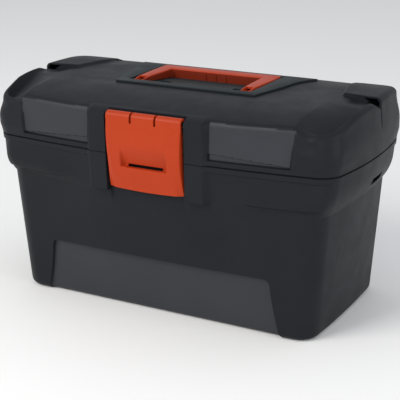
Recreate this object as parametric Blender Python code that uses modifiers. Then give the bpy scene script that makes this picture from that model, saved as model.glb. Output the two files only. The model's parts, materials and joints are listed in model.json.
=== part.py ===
"""Moulded toolbox: a tapered body, a hinged lid with a fold-down carry handle and a front latch, and a tray.

Metres, +Z up. The origin is the centre of the base, on the surface that the box stands on.
+X runs along the length and -Y is the front, where the latch is.
"""
import math

import bmesh
import bpy
from mathutils import Matrix, Vector

# ---- Driving dimensions, in metres -------------------------------------------------------------
RIM_Z = 0.1784            # flat top of the body's rim
SEAM_Z = 0.1790           # lower edge of the lid
TAPER_Z = 0.1380          # top of the body's plain tapered wall
SHOULDER_Z = 0.1600       # where the body's shoulder is fully grown
RIM_STRIP_Z = 0.1720      # lower edge of the thick strip under the rim
RIM_STRIP_OUT = 0.0012
BODY_WALL = 0.0026
LID_WALL = 0.0028
FLOOR = 0.0030            # thickness of the body's floor
GAP = 0.0003              # between pieces that touch
CLEAR = 0.0003            # between a pin and its bore

# Outlines: half length and half depth at the corners, corner radius, and how far each side bows out
BASE_OUTLINE = (0.1780, 0.0880, 0.0200, 0.0030, 0.0025)
TAPER_OUTLINE = (0.1880, 0.0900, 0.0200, 0.0070, 0.0080)
SEAM_OUTLINE = (0.2000, 0.0920, 0.0170, 0.0100, 0.0140)
BUMPER_OUTLINE = (0.2025, 0.0940, 0.0190, 0.0075, 0.0120)
CROWN_OUTLINE = (0.1990, 0.0905, 0.0200, 0.0090, 0.0130)
BUMPER_Z = (0.1900, 0.2050)  # the lid's corners and ends are fullest between these heights

FOOT_RADIUS = 0.006       # rounding round the base
PANEL_TOP_Z = 0.0630      # front panel between the corner feet
PANEL_HALF_TOP = 0.1330
PANEL_HALF_BASE = 0.1440
PANEL_FRONT_Y = -0.0855
PANEL_LEAN = 0.030        # how far the panel leans out, per metre of height

CHANNEL_HALF = 0.0463     # the latch lies between two cheeks
CHEEK_HALF = 0.0670
CHEEK_FOOT_HALF = 0.0720
CHEEK_Y = -0.1075
CHEEK_BASE_Z = 0.1375
BODY_CHANNEL_Y = -0.0985
LID_CHANNEL_Y = -0.0968
BLOCK_TOP_Z = 0.2210

CROWN_Z = 0.2332          # highest part of the lid's top
CROWN_Y = 0.0080          # the crown's middle, and how far it stays level to each side
CROWN_FLAT = 0.0380
CROWN_FALL = 2.05         # fall per metre squared beyond that
ROLL = 0.0060             # rounding from the lid's wall into its top
END_FACET_X = 0.1600
END_FACET_FALL = 0.16
EAR_X = 0.1650            # raised pads on the rear half of each end
EAR_Y = 0.0140
EAR_Z = 0.2362
EAR_EDGE = 0.0004         # half the width of the ears' sloping inner edge
TOP_INSET = 0.0120        # where the lid's rounding has run out into the plain top

WINDOW = (0.0795, 0.0460, 0.0020, 0.0, 0.0)   # opening in the lid's top, under the handle deck
WINDOW_Y = 0.0280
WINDOW_SCALE = 0.40       # spacing of the window's stations against the wall's

HINGE_Y = 0.1100
HINGE_Z = 0.1770
HINGE_X = 0.1150
KNUCKLE_RADIUS = 0.0055
LID_KNUCKLE_HALF = 0.0076
BODY_KNUCKLE = 0.0100     # length of each body knuckle
KNUCKLE_GAP = 0.0004
HINGE_BORE_HALF = 0.0220
BODY_ARM_Z = (-0.0110, -0.0010)   # the hinge arms' heights, from the hinge's axis
LID_ARM_Z = (0.0035, 0.0090)
ARM_ROOT = 0.0020         # how far an arm runs into its wall
HINGE_PIN_RADIUS = 0.0020

LATCH_PIN_Y = -0.1035
LATCH_PIN_Z = 0.2185
LATCH_HALF = 0.0450
LATCH_EYE_RADIUS = 0.0055
LATCH_PIN_HALF = 0.0490
# The latch plate's front and back in Y and Z
LATCH_FRONT = ((-0.1063, 0.1420), (-0.1090, 0.1560), (-0.1106, 0.1720), (-0.1108, 0.1860))
LATCH_BACK = ((-0.1045, 0.2080), (-0.1040, 0.1920), (-0.1032, 0.1800), (-0.1032, 0.1480), (-0.1015, 0.1470))
LATCH_NOSE = ((-0.1015, 0.1430), (-0.1035, 0.1420))
LATCH_SLOT_X = 0.0145
LATCH_SLOT_HALF = 0.00125
LATCH_SLOT_Z = 0.2135
SCOOP_LOW = (-0.0280, -0.1160, 0.1680)
SCOOP_HIGH = (0.0270, -0.1055, 0.1880)
SCOOP_TOP_Y = -0.1095

# Half widths of the deck's plan at places along Y, from its front edge to its rear edge
DECK_PLAN = ((0.0850, -0.0250), (0.0920, 0.0050), (0.0950, 0.0300), (0.0980, 0.0460), (0.1040, 0.0620),
             (0.1100, 0.0770))
DECK_RISE = 0.0021        # height of the deck's plate over the lid
DECK_UNDER_Z = 0.2165
WELL_FRONT_Y = -0.0140    # the sunken well that the handle folds into
WELL_REAR_Y = 0.0660
WELL_HALF = 0.0750
WELL_FRONT_Z = 0.2310
WELL_REAR_Z = 0.2238
BASIN_WALL = 0.0030
UNDER_HALF = 0.0510       # hollow under the well's floor
UNDER_FRONT_Y = 0.0080
UNDER_TOP_Z = 0.2212
POCKET_REAR_Y = 0.0060    # pockets beside the handle's pivots
ABOVE = 0.0100            # how far a cutter stands over what it cuts

HANDLE_PIVOT_Y = -0.0050
HANDLE_PIVOT_Z = 0.2295
HANDLE_HALF = 0.0730
HANDLE_INNER_HALF = 0.0570
HANDLE_FRONT_Y = -0.0110
HANDLE_GRIP_Y = 0.0480
HANDLE_REAR_Y = 0.0640
HANDLE_TOP_Z = 0.2360
HANDLE_END_Z = 0.2340     # the arms' tops slope down to here at their front ends
HANDLE_SLOPE_Y = 0.0020
HANDLE_SKIN = 0.0020
HANDLE_BOSS_RADIUS = 0.0050
HANDLE_PIN_RADIUS = 0.0017
PIVOT_ROOM = 0.0015       # beside the handle's pivots
PIN_REACH = (0.0035, 0.0030)   # how far a handle pin runs past the arm's inner and outer faces
HANDLE_LIFT = 0.0006      # under the folded handle

TRAY_BASE_Z = 0.1400
TRAY_TOP_Z = 0.1760
TRAY_BASE_OUTLINE = (0.1800, 0.0820, 0.0180, 0.0030, 0.0020)
TRAY_TOP_OUTLINE = (0.1925, 0.0850, 0.0200, 0.0040, 0.0030)
TRAY_WALL = 0.0022
WEB_HALF = 0.0050         # the tray's middle web, under its grip
GRIP_HALF = 0.0580
GRIP_LEG = 0.0080
GRIP_TOP_Z = 0.1900
GRIP_BAR = 0.0065
GRIP_OVERHANG = 0.0010
GRIP_EDGE = 0.0015
NOTCH_HALF = (0.0480, 0.0070)
NOTCH_Z = 0.1580
POCKET_X = 0.0610         # middle of the walls between the front pockets
POCKET_WALL_HALF = 0.0010
POCKET_MARGIN = (0.0040, 0.0030)
TRAY_CHAMFER = 0.0020
SHELF_HALF = 0.0280       # ribs inside the body's ends, under the tray
SHELF_X = 0.1760
SHELF_END_X = 0.1930
SHELF_HEIGHT = 0.0050

SLOT_Y = (0.0060, 0.0360)  # slot in each end of the shoulder
SLOT_Z = (0.1450, 0.1525)
SLOT_X = (0.1900, 0.2150)

CORNER_STEPS = 4
ROUND_SIDES = 16


# ---- Scene and small helpers -------------------------------------------------------------------
for old in list(bpy.data.objects):
    bpy.data.objects.remove(old, do_unlink=True)

toolbox = bpy.data.collections.new("toolbox_with_tray")
bpy.context.scene.collection.children.link(toolbox)
cutters = bpy.data.collections.new("cutters")
bpy.context.scene.collection.children.link(cutters)


def material(name, colour, roughness, metallic=0.0):
    """A Principled material in one colour."""
    made = bpy.data.materials.new(name)
    made.use_nodes = True
    shader = made.node_tree.nodes["Principled BSDF"]
    shader.inputs["Base Color"].default_value = (*colour, 1.0)
    shader.inputs["Roughness"].default_value = roughness
    shader.inputs["Metallic"].default_value = metallic
    return made


def add_object(name, mesh, finish=None, collection=None):
    """Link a mesh as a named object."""
    made = bpy.data.objects.new(name, mesh)
    (collection or toolbox).objects.link(made)
    if finish:
        mesh.materials.clear()
        mesh.materials.append(finish)
    return made


def as_cutter(piece):
    """Keep an object as a tool for Boolean modifiers."""
    for holder in list(piece.users_collection):
        holder.objects.unlink(piece)
    cutters.objects.link(piece)
    piece.hide_render = True
    piece.display_type = "WIRE"
    return piece


def boolean(piece, tool, operation):
    """Cut or join one object with another."""
    modifier = piece.modifiers.new(tool.name, "BOOLEAN")
    modifier.object = tool
    modifier.operation = operation
    modifier.solver = "EXACT"


def box(name, low, high):
    """A cutter box between two corners."""
    low, high = Vector(low), Vector(high)
    bm = bmesh.new()
    place = Matrix.Translation((low + high) / 2) @ Matrix.Diagonal((*(high - low), 1.0))
    bmesh.ops.create_cube(bm, size=1.0, matrix=place)
    mesh = bpy.data.meshes.new(name)
    bm.to_mesh(mesh)
    bm.free()
    return as_cutter(add_object(name, mesh))


def rod_mesh(name, radius, start_x, end_x, y, z):
    """A closed cylinder along X."""
    bm = bmesh.new()
    place = Matrix.Translation(((start_x + end_x) / 2, y, z)) @ Matrix.Rotation(math.pi / 2, 4, "Y")
    bmesh.ops.create_cone(bm, cap_ends=True, segments=ROUND_SIDES, radius1=radius, radius2=radius,
                          depth=end_x - start_x, matrix=place)
    mesh = bpy.data.meshes.new(name)
    bm.to_mesh(mesh)
    bm.free()
    mesh.shade_smooth()
    mesh.set_sharp_from_angle(angle=math.radians(40))
    return mesh


def rod_cutter(name, radius, start_x, end_x, y, z):
    """A cutter cylinder along X."""
    return as_cutter(add_object(name, rod_mesh(name, radius, start_x, end_x, y, z)))


def set_origin(piece, point):
    """Move an object's origin to a point without moving its shape."""
    piece.data.transform(Matrix.Translation(-Vector(point)))
    piece.location = point


def ease(low, high, value):
    """0 below low, 1 above high, and a smooth rise between."""
    part = min(max((value - low) / (high - low), 0.0), 1.0)
    return part * part * (3.0 - 2.0 * part)


def mix(first, second, part):
    """A value, or each value of a tuple, between two."""
    if isinstance(first, tuple):
        return tuple(mix(a, b, part) for a, b in zip(first, second))
    return first + (second - first) * part


def mirrored_span(sign, start, end):
    """A span along X on the right, or its mirror image on the left."""
    return sorted((sign * start, sign * end))


def inset(outline, distance):
    """An outline moved inwards."""
    half_length, half_depth, radius, bow_x, bow_y = outline
    return (half_length - distance, half_depth - distance, max(radius - distance, 0.003), bow_x, bow_y)


# ---- Rings: every shell is lofted through rings with the same stations -------------------------
def ring(outline, front_x, rear_x, end_y=(0.0,), centre_y=0.0):
    """Points (x, y, side) round a bowed rounded rectangle, counterclockwise from above."""
    half_length, half_depth, radius, bow_x, bow_y = outline
    straight_x = half_length - radius
    straight_y = half_depth - radius
    points = []

    def bowed(x, y, side):
        out_y = bow_y * max(1.0 - (x / half_length) ** 2, 0.0) * abs(y) / half_depth
        out_x = bow_x * max(1.0 - (y / half_depth) ** 2, 0.0) * abs(x) / half_length
        points.append((x + math.copysign(out_x, x), y + math.copysign(out_y, y) + centre_y, side))

    def corner(sign_x, sign_y, start):
        for step in range(CORNER_STEPS + 1):
            angle = start + math.pi / 2 * step / CORNER_STEPS
            bowed(sign_x * straight_x + radius * math.cos(angle),
                  sign_y * straight_y + radius * math.sin(angle), "corner")

    for x in sorted({-x for x in front_x} | set(front_x)):
        bowed(x, -half_depth, "front")
    corner(1, -1, -math.pi / 2)
    for y in sorted({-y for y in end_y} | set(end_y)):
        bowed(half_length, y, "end")
    corner(1, 1, 0.0)
    for x in sorted({-x for x in rear_x} | set(rear_x), reverse=True):
        bowed(x, half_depth, "rear")
    corner(-1, 1, math.pi / 2)
    for y in sorted({-y for y in end_y} | set(end_y), reverse=True):
        bowed(-half_length, y, "end")
    corner(-1, -1, math.pi)
    return points


def loft(name, rings, finish, closed=False):
    """A closed solid through rings that run upwards outside; closed joins the last ring to the first."""
    bm = bmesh.new()
    rows = [[bm.verts.new(point) for point in points] for points in rings]
    pairs = list(zip(rows, rows[1:]))
    if closed:
        pairs.append((rows[-1], rows[0]))
    for lower, upper in pairs:
        for index, vertex in enumerate(lower):
            after = (index + 1) % len(lower)
            bm.faces.new((vertex, lower[after], upper[after], upper[index]))
    if not closed:
        bm.faces.new(reversed(rows[0]))
        bm.faces.new(rows[-1])
    mesh = bpy.data.meshes.new(name)
    bm.to_mesh(mesh)
    bm.free()
    return add_object(name, mesh, finish)


# ---- Body --------------------------------------------------------------------------------------
def panel_half(z):
    """Half width of the recessed front panel, wider at the base."""
    low = max(1.0 - z / PANEL_TOP_Z, 0.0)
    return mix(PANEL_HALF_TOP, PANEL_HALF_BASE, low ** 1.5)


def body_outline(z):
    """The body's outer outline at a height: a plain taper, then a shoulder that swells out to the seam."""
    taper = mix(BASE_OUTLINE, TAPER_OUTLINE, z / TAPER_Z)
    swell = 0.85 * ease(TAPER_Z - 0.004, SHOULDER_Z, z) + 0.15 * ease(SHOULDER_Z, SEAM_Z, z)
    strip = RIM_STRIP_OUT if z > RIM_STRIP_Z else 0.0
    return inset(mix(taper, SEAM_OUTLINE, swell), RIM_STRIP_OUT - strip)


def body_front_x(z):
    """Front stations, which follow the panel's sloping sides."""
    edge = panel_half(z)
    return (0.0, CHANNEL_HALF, CHANNEL_HALF + 0.0005, CHEEK_HALF, CHEEK_FOOT_HALF, 0.100,
            edge - 0.0006, edge + 0.0006)


REAR_X = (0.0, 0.060, 0.110, 0.150)
END_Y = (0.0, 0.040)


def body_ring(z, distance=0.0, inner=False):
    """One ring of the body, outside or inside."""
    points = []
    for x, y, side in ring(inset(body_outline(z), distance), body_front_x(z), REAR_X, END_Y):
        if side == "front":
            wall = BODY_WALL if inner else 0.0
            if z <= PANEL_TOP_Z and abs(x) < panel_half(z):
                y = max(y, PANEL_FRONT_Y - PANEL_LEAN * z + wall + (0.0 if inner else distance))
            elif z >= CHEEK_BASE_Z and abs(x) < CHEEK_HALF + 0.0001 and not inner:
                y = CHEEK_Y if abs(x) > CHANNEL_HALF + 0.0001 else BODY_CHANNEL_Y
            elif inner and z > TAPER_Z and abs(x) < CHEEK_HALF:
                y = max(y, BODY_CHANNEL_Y + wall)
        points.append((x, y, z))
    return points


def rear_wall_y(x):
    """Where the rear wall stands at the seam."""
    return SEAM_OUTLINE[1] + SEAM_OUTLINE[4] * (1.0 - (x / SEAM_OUTLINE[0]) ** 2)


def make_body(finish):
    """The body: one moulding with its latch cheeks, hinge knuckles, end slots and tray shelves."""
    foot_angles = [math.radians(angle) for angle in (90, 60, 30)]
    outside = [body_ring(FOOT_RADIUS * (1.0 - math.sin(angle)), FOOT_RADIUS * (1.0 - math.cos(angle)))
               for angle in foot_angles]
    outside += [body_ring(z) for z in (
        FOOT_RADIUS, 0.030, PANEL_TOP_Z, PANEL_TOP_Z + 0.0006, 0.100, 0.124, CHEEK_BASE_Z - 0.0006,
        CHEEK_BASE_Z, 0.1420, 0.1480, 0.1540, SHOULDER_Z, RIM_STRIP_Z, RIM_STRIP_Z + 0.0008, RIM_Z)]
    inside = [body_ring(z, BODY_WALL, inner=True) for z in (
        RIM_Z, 0.1600, 0.1480, 0.1420, CHEEK_BASE_Z, 0.100, PANEL_TOP_Z + 0.0006, PANEL_TOP_Z, 0.030)]
    inside.append(body_ring(FLOOR, 0.0050, inner=True))
    body = loft("body_shell", outside + inside, finish)
    for sign, side in ((-1, "left"), (1, "right")):
        ends = mirrored_span(sign, SHELF_X, SHELF_END_X)
        shelf_top = TRAY_BASE_Z - GAP
        shelf = box(f"shelf_{side}", (ends[0], -SHELF_HALF, shelf_top - SHELF_HEIGHT),
                    (ends[1], SHELF_HALF, shelf_top))
        boolean(body, shelf, "UNION")
        ends = mirrored_span(sign, *SLOT_X)
        slot = box(f"end_slot_{side}", (ends[0], SLOT_Y[0], SLOT_Z[0]), (ends[1], SLOT_Y[1], SLOT_Z[1]))
        boolean(body, slot, "DIFFERENCE")
        for place, start in (("inner", HINGE_X - LID_KNUCKLE_HALF - KNUCKLE_GAP - BODY_KNUCKLE),
                             ("outer", HINGE_X + LID_KNUCKLE_HALF + KNUCKLE_GAP)):
            span = mirrored_span(sign, start, start + BODY_KNUCKLE)
            knuckle = rod_cutter(f"body_knuckle_{place}_{side}", KNUCKLE_RADIUS, *span, HINGE_Y, HINGE_Z)
            web = box(f"knuckle_web_{place}_{side}",
                      (span[0] + KNUCKLE_GAP, rear_wall_y(sum(span) / 2) - ARM_ROOT, HINGE_Z + BODY_ARM_Z[0]),
                      (span[1] - KNUCKLE_GAP, HINGE_Y, HINGE_Z + BODY_ARM_Z[1]))
            boolean(body, web, "UNION")
            boolean(body, knuckle, "UNION")
        bore = rod_cutter(f"hinge_bore_body_{side}", HINGE_PIN_RADIUS + CLEAR,
                          *mirrored_span(sign, HINGE_X - HINGE_BORE_HALF, HINGE_X + HINGE_BORE_HALF),
                          HINGE_Y, HINGE_Z)
        boolean(body, bore, "DIFFERENCE")
    return body


# ---- Lid ---------------------------------------------------------------------------------------
def crown(x, y, ears=True):
    """Height of the lid's top at a point."""
    away = max(abs(y - CROWN_Y) - CROWN_FLAT, 0.0)
    height = CROWN_Z - CROWN_FALL * away * away
    height -= END_FACET_FALL * max(abs(x) - END_FACET_X, 0.0)
    height -= 0.004 * ease(0.150, 0.175, abs(x)) * ease(0.060, 0.090, -y)
    height -= 0.004 * ease(0.172, 0.185, abs(x)) * ease(-0.010, 0.010, y)
    if ears and abs(x) > EAR_X and y > EAR_Y:
        height = EAR_Z - CROWN_FALL * max(abs(y - CROWN_Y) - CROWN_FLAT, 0.0) ** 2
    return height


LID_FRONT_X = (0.0, CHANNEL_HALF, CHANNEL_HALF + 0.0005, CHEEK_HALF, CHEEK_FOOT_HALF, 0.115, 0.160)
LID_END_Y = (EAR_Y - 0.0007, EAR_Y + 0.0007, 0.045)


def lid_points(outline):
    """Lid stations on an outline."""
    return ring(outline, LID_FRONT_X, REAR_X, LID_END_Y)


def lid_wall_ring(z, distance=0.0, inner=False):
    """One ring of the lid's upright wall, which is fuller at its corners and ends."""
    outline = inset(mix(SEAM_OUTLINE, CROWN_OUTLINE, (z - SEAM_Z) / 0.040), distance)
    full = inset(mix(SEAM_OUTLINE, BUMPER_OUTLINE, ease(SEAM_Z, BUMPER_Z[0], z)), distance)
    points = []
    for (x, y, side), (full_x, full_y, _) in zip(lid_points(outline), lid_points(full)):
        if side in ("corner", "end"):
            x, y = full_x, full_y
        if side == "front":
            if inner and abs(x) < CHEEK_HALF - 0.001:
                y = max(y, LID_CHANNEL_Y + LID_WALL)
            elif not inner and abs(x) < CHEEK_HALF + 0.0001:
                y = CHEEK_Y if abs(x) > CHANNEL_HALF + 0.0001 else LID_CHANNEL_Y
        points.append((x, y, z))
    return points


def lid_top_ring(distance, drop, inner=False):
    """One ring of the lid's top, at a distance inside the wall and a drop below the crown."""
    points = []
    for x, y, side in lid_points(inset(CROWN_OUTLINE, distance)):
        z = crown(x, y, ears=not inner) - drop
        if side == "front" and abs(x) < CHEEK_HALF + 0.0001 and not inner:
            part = max(1.0 - distance / TOP_INSET, 0.0)
            y = mix(y, CHEEK_Y, part)
            z = mix(z, BLOCK_TOP_Z, part)
            if abs(x) < CHANNEL_HALF + 0.0001:
                y = max(y, LID_CHANNEL_Y)
        elif side == "front" and inner and abs(x) < CHEEK_HALF - 0.001:
            y = max(y, LID_CHANNEL_Y + LID_WALL)
        points.append((x, y, z))
    return points


def window_ring(drop):
    """The opening under the handle deck."""
    front_x = tuple(x * WINDOW_SCALE for x in LID_FRONT_X)
    rear_x = tuple(x * WINDOW_SCALE for x in REAR_X)
    end_y = tuple(y * WINDOW_SCALE for y in LID_END_Y)
    return [(x, y, crown(x, y) - drop) for x, y, _ in ring(WINDOW, front_x, rear_x, end_y, WINDOW_Y)]


def ear_edge_ring(end_x, drop, inner=False):
    """A ring between the wall and the window that runs along the ears' inner edge."""
    part = 0.25
    points = []
    outer = lid_points(inset(CROWN_OUTLINE, TOP_INSET))
    for (x, y, side), (window_x, window_y, _) in zip(outer, window_ring(0.0)):
        x = math.copysign(end_x, x) if side == "end" else mix(x, window_x, part)
        y = mix(y, window_y, part)
        points.append((x, y, crown(x, y, ears=not inner) - drop))
    return points


def make_lid(finish):
    """The lid: a closed loop of rings, out at the wall, over the top, and back inside."""
    outside = [lid_wall_ring(z) for z in (SEAM_Z, *BUMPER_Z)]
    outside += [lid_top_ring(0.0, ROLL), lid_top_ring(0.0018, 0.0018), lid_top_ring(ROLL, 0.0),
                lid_top_ring(TOP_INSET, 0.0), ear_edge_ring(EAR_X + EAR_EDGE, 0.0),
                ear_edge_ring(EAR_X - EAR_EDGE, 0.0)]
    inside = [ear_edge_ring(EAR_X, LID_WALL, inner=True), lid_top_ring(LID_WALL + ROLL, LID_WALL, inner=True),
              lid_top_ring(LID_WALL, LID_WALL + ROLL, inner=True)]
    inside += [lid_wall_ring(z, LID_WALL, inner=True) for z in (*reversed(BUMPER_Z), SEAM_Z)]
    lid = loft("lid_shell", outside + [window_ring(0.0), window_ring(LID_WALL)] + inside, finish, closed=True)
    for sign, side in ((-1, "left"), (1, "right")):
        span = mirrored_span(sign, HINGE_X - LID_KNUCKLE_HALF, HINGE_X + LID_KNUCKLE_HALF)
        arm = box(f"lid_arm_{side}",
                  (span[0] + KNUCKLE_GAP, rear_wall_y(HINGE_X) - ARM_ROOT, HINGE_Z + LID_ARM_Z[0]),
                  (span[1] - KNUCKLE_GAP, HINGE_Y + HINGE_PIN_RADIUS, HINGE_Z + LID_ARM_Z[1]))
        boolean(lid, arm, "UNION")
        knuckle = rod_cutter(f"lid_knuckle_{side}", KNUCKLE_RADIUS, *span, HINGE_Y, HINGE_Z)
        boolean(lid, knuckle, "UNION")
        bore = rod_cutter(f"hinge_bore_lid_{side}", HINGE_PIN_RADIUS + CLEAR,
                          *mirrored_span(sign, HINGE_X - HINGE_BORE_HALF, HINGE_X + HINGE_BORE_HALF),
                          HINGE_Y, HINGE_Z)
        boolean(lid, bore, "DIFFERENCE")
    reach = LATCH_PIN_HALF + CLEAR
    latch_bore = rod_cutter("latch_bore", HINGE_PIN_RADIUS + CLEAR, -reach, reach, LATCH_PIN_Y, LATCH_PIN_Z)
    boolean(lid, latch_bore, "DIFFERENCE")
    set_origin(lid, (0.0, HINGE_Y, HINGE_Z))
    return lid


# ---- Latch -------------------------------------------------------------------------------------
def profile_mesh(name, outlines, half_width):
    """A flat outline in the YZ plane, extruded to both sides along X; later outlines are holes."""
    flat = bpy.data.curves.new(name, "CURVE")
    flat.dimensions = "2D"
    flat.fill_mode = "BOTH"
    flat.extrude = half_width
    for outline in outlines:
        spline = flat.splines.new("POLY")
        spline.points.add(len(outline) - 1)
        for point, (y, z) in zip(spline.points, outline):
            point.co = (y, z, 0.0, 1.0)
        spline.use_cyclic_u = True
    guide = bpy.data.objects.new(name, flat)
    toolbox.objects.link(guide)
    upright = Matrix(((0, 0, 1, 0), (1, 0, 0, 0), (0, 1, 0, 0), (0, 0, 0, 1)))
    guide.matrix_world = upright
    bpy.context.view_layer.update()
    mesh = bpy.data.meshes.new_from_object(guide.evaluated_get(bpy.context.evaluated_depsgraph_get()))
    bpy.data.objects.remove(guide)
    mesh.transform(upright)
    bm = bmesh.new()
    bm.from_mesh(mesh)
    bmesh.ops.remove_doubles(bm, verts=bm.verts, dist=0.00001)
    bmesh.ops.recalc_face_normals(bm, faces=bm.faces)
    bm.to_mesh(mesh)
    bm.free()
    mesh.name = name
    return mesh


def arc(y, z, radius, start, end, steps):
    """Points along an arc in the YZ plane, angles in degrees from +Y towards +Z."""
    angles = [math.radians(start + (end - start) * step / steps) for step in range(steps + 1)]
    return [(y + radius * math.cos(angle), z + radius * math.sin(angle)) for angle in angles]


def make_latch(finish):
    """The latch: a curved plate with three eyes on the latch pin and a finger scoop."""
    eye = arc(LATCH_PIN_Y, LATCH_PIN_Z, LATCH_EYE_RADIUS, 180, -60, 14)
    plate = [*LATCH_NOSE, *LATCH_FRONT, *eye, *LATCH_BACK]
    hole = arc(LATCH_PIN_Y, LATCH_PIN_Z, HINGE_PIN_RADIUS + CLEAR, 0, 337.5, 15)
    latch = add_object("front_latch", profile_mesh("front_latch", [plate, hole], LATCH_HALF), finish)
    for sign, side in ((-1, "left"), (1, "right")):
        span = mirrored_span(sign, LATCH_SLOT_X - LATCH_SLOT_HALF, LATCH_SLOT_X + LATCH_SLOT_HALF)
        slot = box(f"latch_slot_{side}", (span[0], LATCH_PIN_Y - ABOVE, LATCH_SLOT_Z),
                   (span[1], LATCH_PIN_Y + ABOVE, LATCH_PIN_Z + ABOVE))
        boolean(latch, slot, "DIFFERENCE")
    scoop = box("latch_scoop", SCOOP_LOW, SCOOP_HIGH)
    for vertex in scoop.data.vertices:
        if vertex.co.z > LATCH_FRONT[-1][1] and vertex.co.y > SCOOP_TOP_Y:
            vertex.co.y = SCOOP_TOP_Y
    boolean(latch, scoop, "DIFFERENCE")
    set_origin(latch, (0.0, LATCH_PIN_Y, LATCH_PIN_Z))
    return latch


# ---- Handle and its deck -----------------------------------------------------------------------
def deck_section(half, y):
    """One upright section of the deck's plate, which follows the lid's crown."""
    low = crown(0.0, y) + GAP
    high = crown(0.0, y) + DECK_RISE
    return [(-half, y, low), (-half, y, high), (half, y, high), (half, y, low)]


def well_floor(y):
    """Height of the well's floor, which slopes down to the rear."""
    return mix(WELL_FRONT_Z, WELL_REAR_Z, (y - WELL_FRONT_Y) / (WELL_REAR_Y - WELL_FRONT_Y))


def well_cutter():
    """A box cutter with the well's sloping floor."""
    cutter = box("handle_well", (-WELL_HALF, WELL_FRONT_Y, DECK_UNDER_Z),
                 (WELL_HALF, WELL_REAR_Y, HANDLE_TOP_Z + ABOVE))
    for vertex in cutter.data.vertices:
        if vertex.co.z < HANDLE_TOP_Z:
            vertex.co.z = well_floor(vertex.co.y)
    return cutter


def make_deck(finish):
    """The deck: a thin plate on the lid's top with a sunken well for the folded handle."""
    deck = loft("handle_deck", [deck_section(half, y) for half, y in DECK_PLAN], finish)
    basin = box("deck_basin", (-WELL_HALF - BASIN_WALL, WELL_FRONT_Y - BASIN_WALL, DECK_UNDER_Z),
                (WELL_HALF + BASIN_WALL, WELL_REAR_Y + BASIN_WALL, CROWN_Z))
    boolean(deck, basin, "UNION")
    under = box("deck_under", (-UNDER_HALF, UNDER_FRONT_Y, DECK_UNDER_Z - ABOVE),
                (UNDER_HALF, WELL_REAR_Y, UNDER_TOP_Z))
    boolean(deck, under, "DIFFERENCE")
    boolean(deck, well_cutter(), "DIFFERENCE")
    for sign, side in ((-1, "left"), (1, "right")):
        span = mirrored_span(sign, HANDLE_INNER_HALF - PIVOT_ROOM, HANDLE_HALF + PIVOT_ROOM)
        pocket = box(f"pivot_pocket_{side}", (span[0], WELL_FRONT_Y, DECK_UNDER_Z + HANDLE_SKIN),
                     (span[1], POCKET_REAR_Y, HANDLE_TOP_Z + ABOVE))
        boolean(deck, pocket, "DIFFERENCE")
        span = mirrored_span(sign, HANDLE_INNER_HALF - PIN_REACH[0] - CLEAR,
                             HANDLE_HALF + PIN_REACH[1] + CLEAR)
        bore = rod_cutter(f"handle_bore_deck_{side}", HANDLE_PIN_RADIUS + CLEAR, *span,
                          HANDLE_PIVOT_Y, HANDLE_PIVOT_Z)
        boolean(deck, bore, "DIFFERENCE")
    return deck


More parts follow.
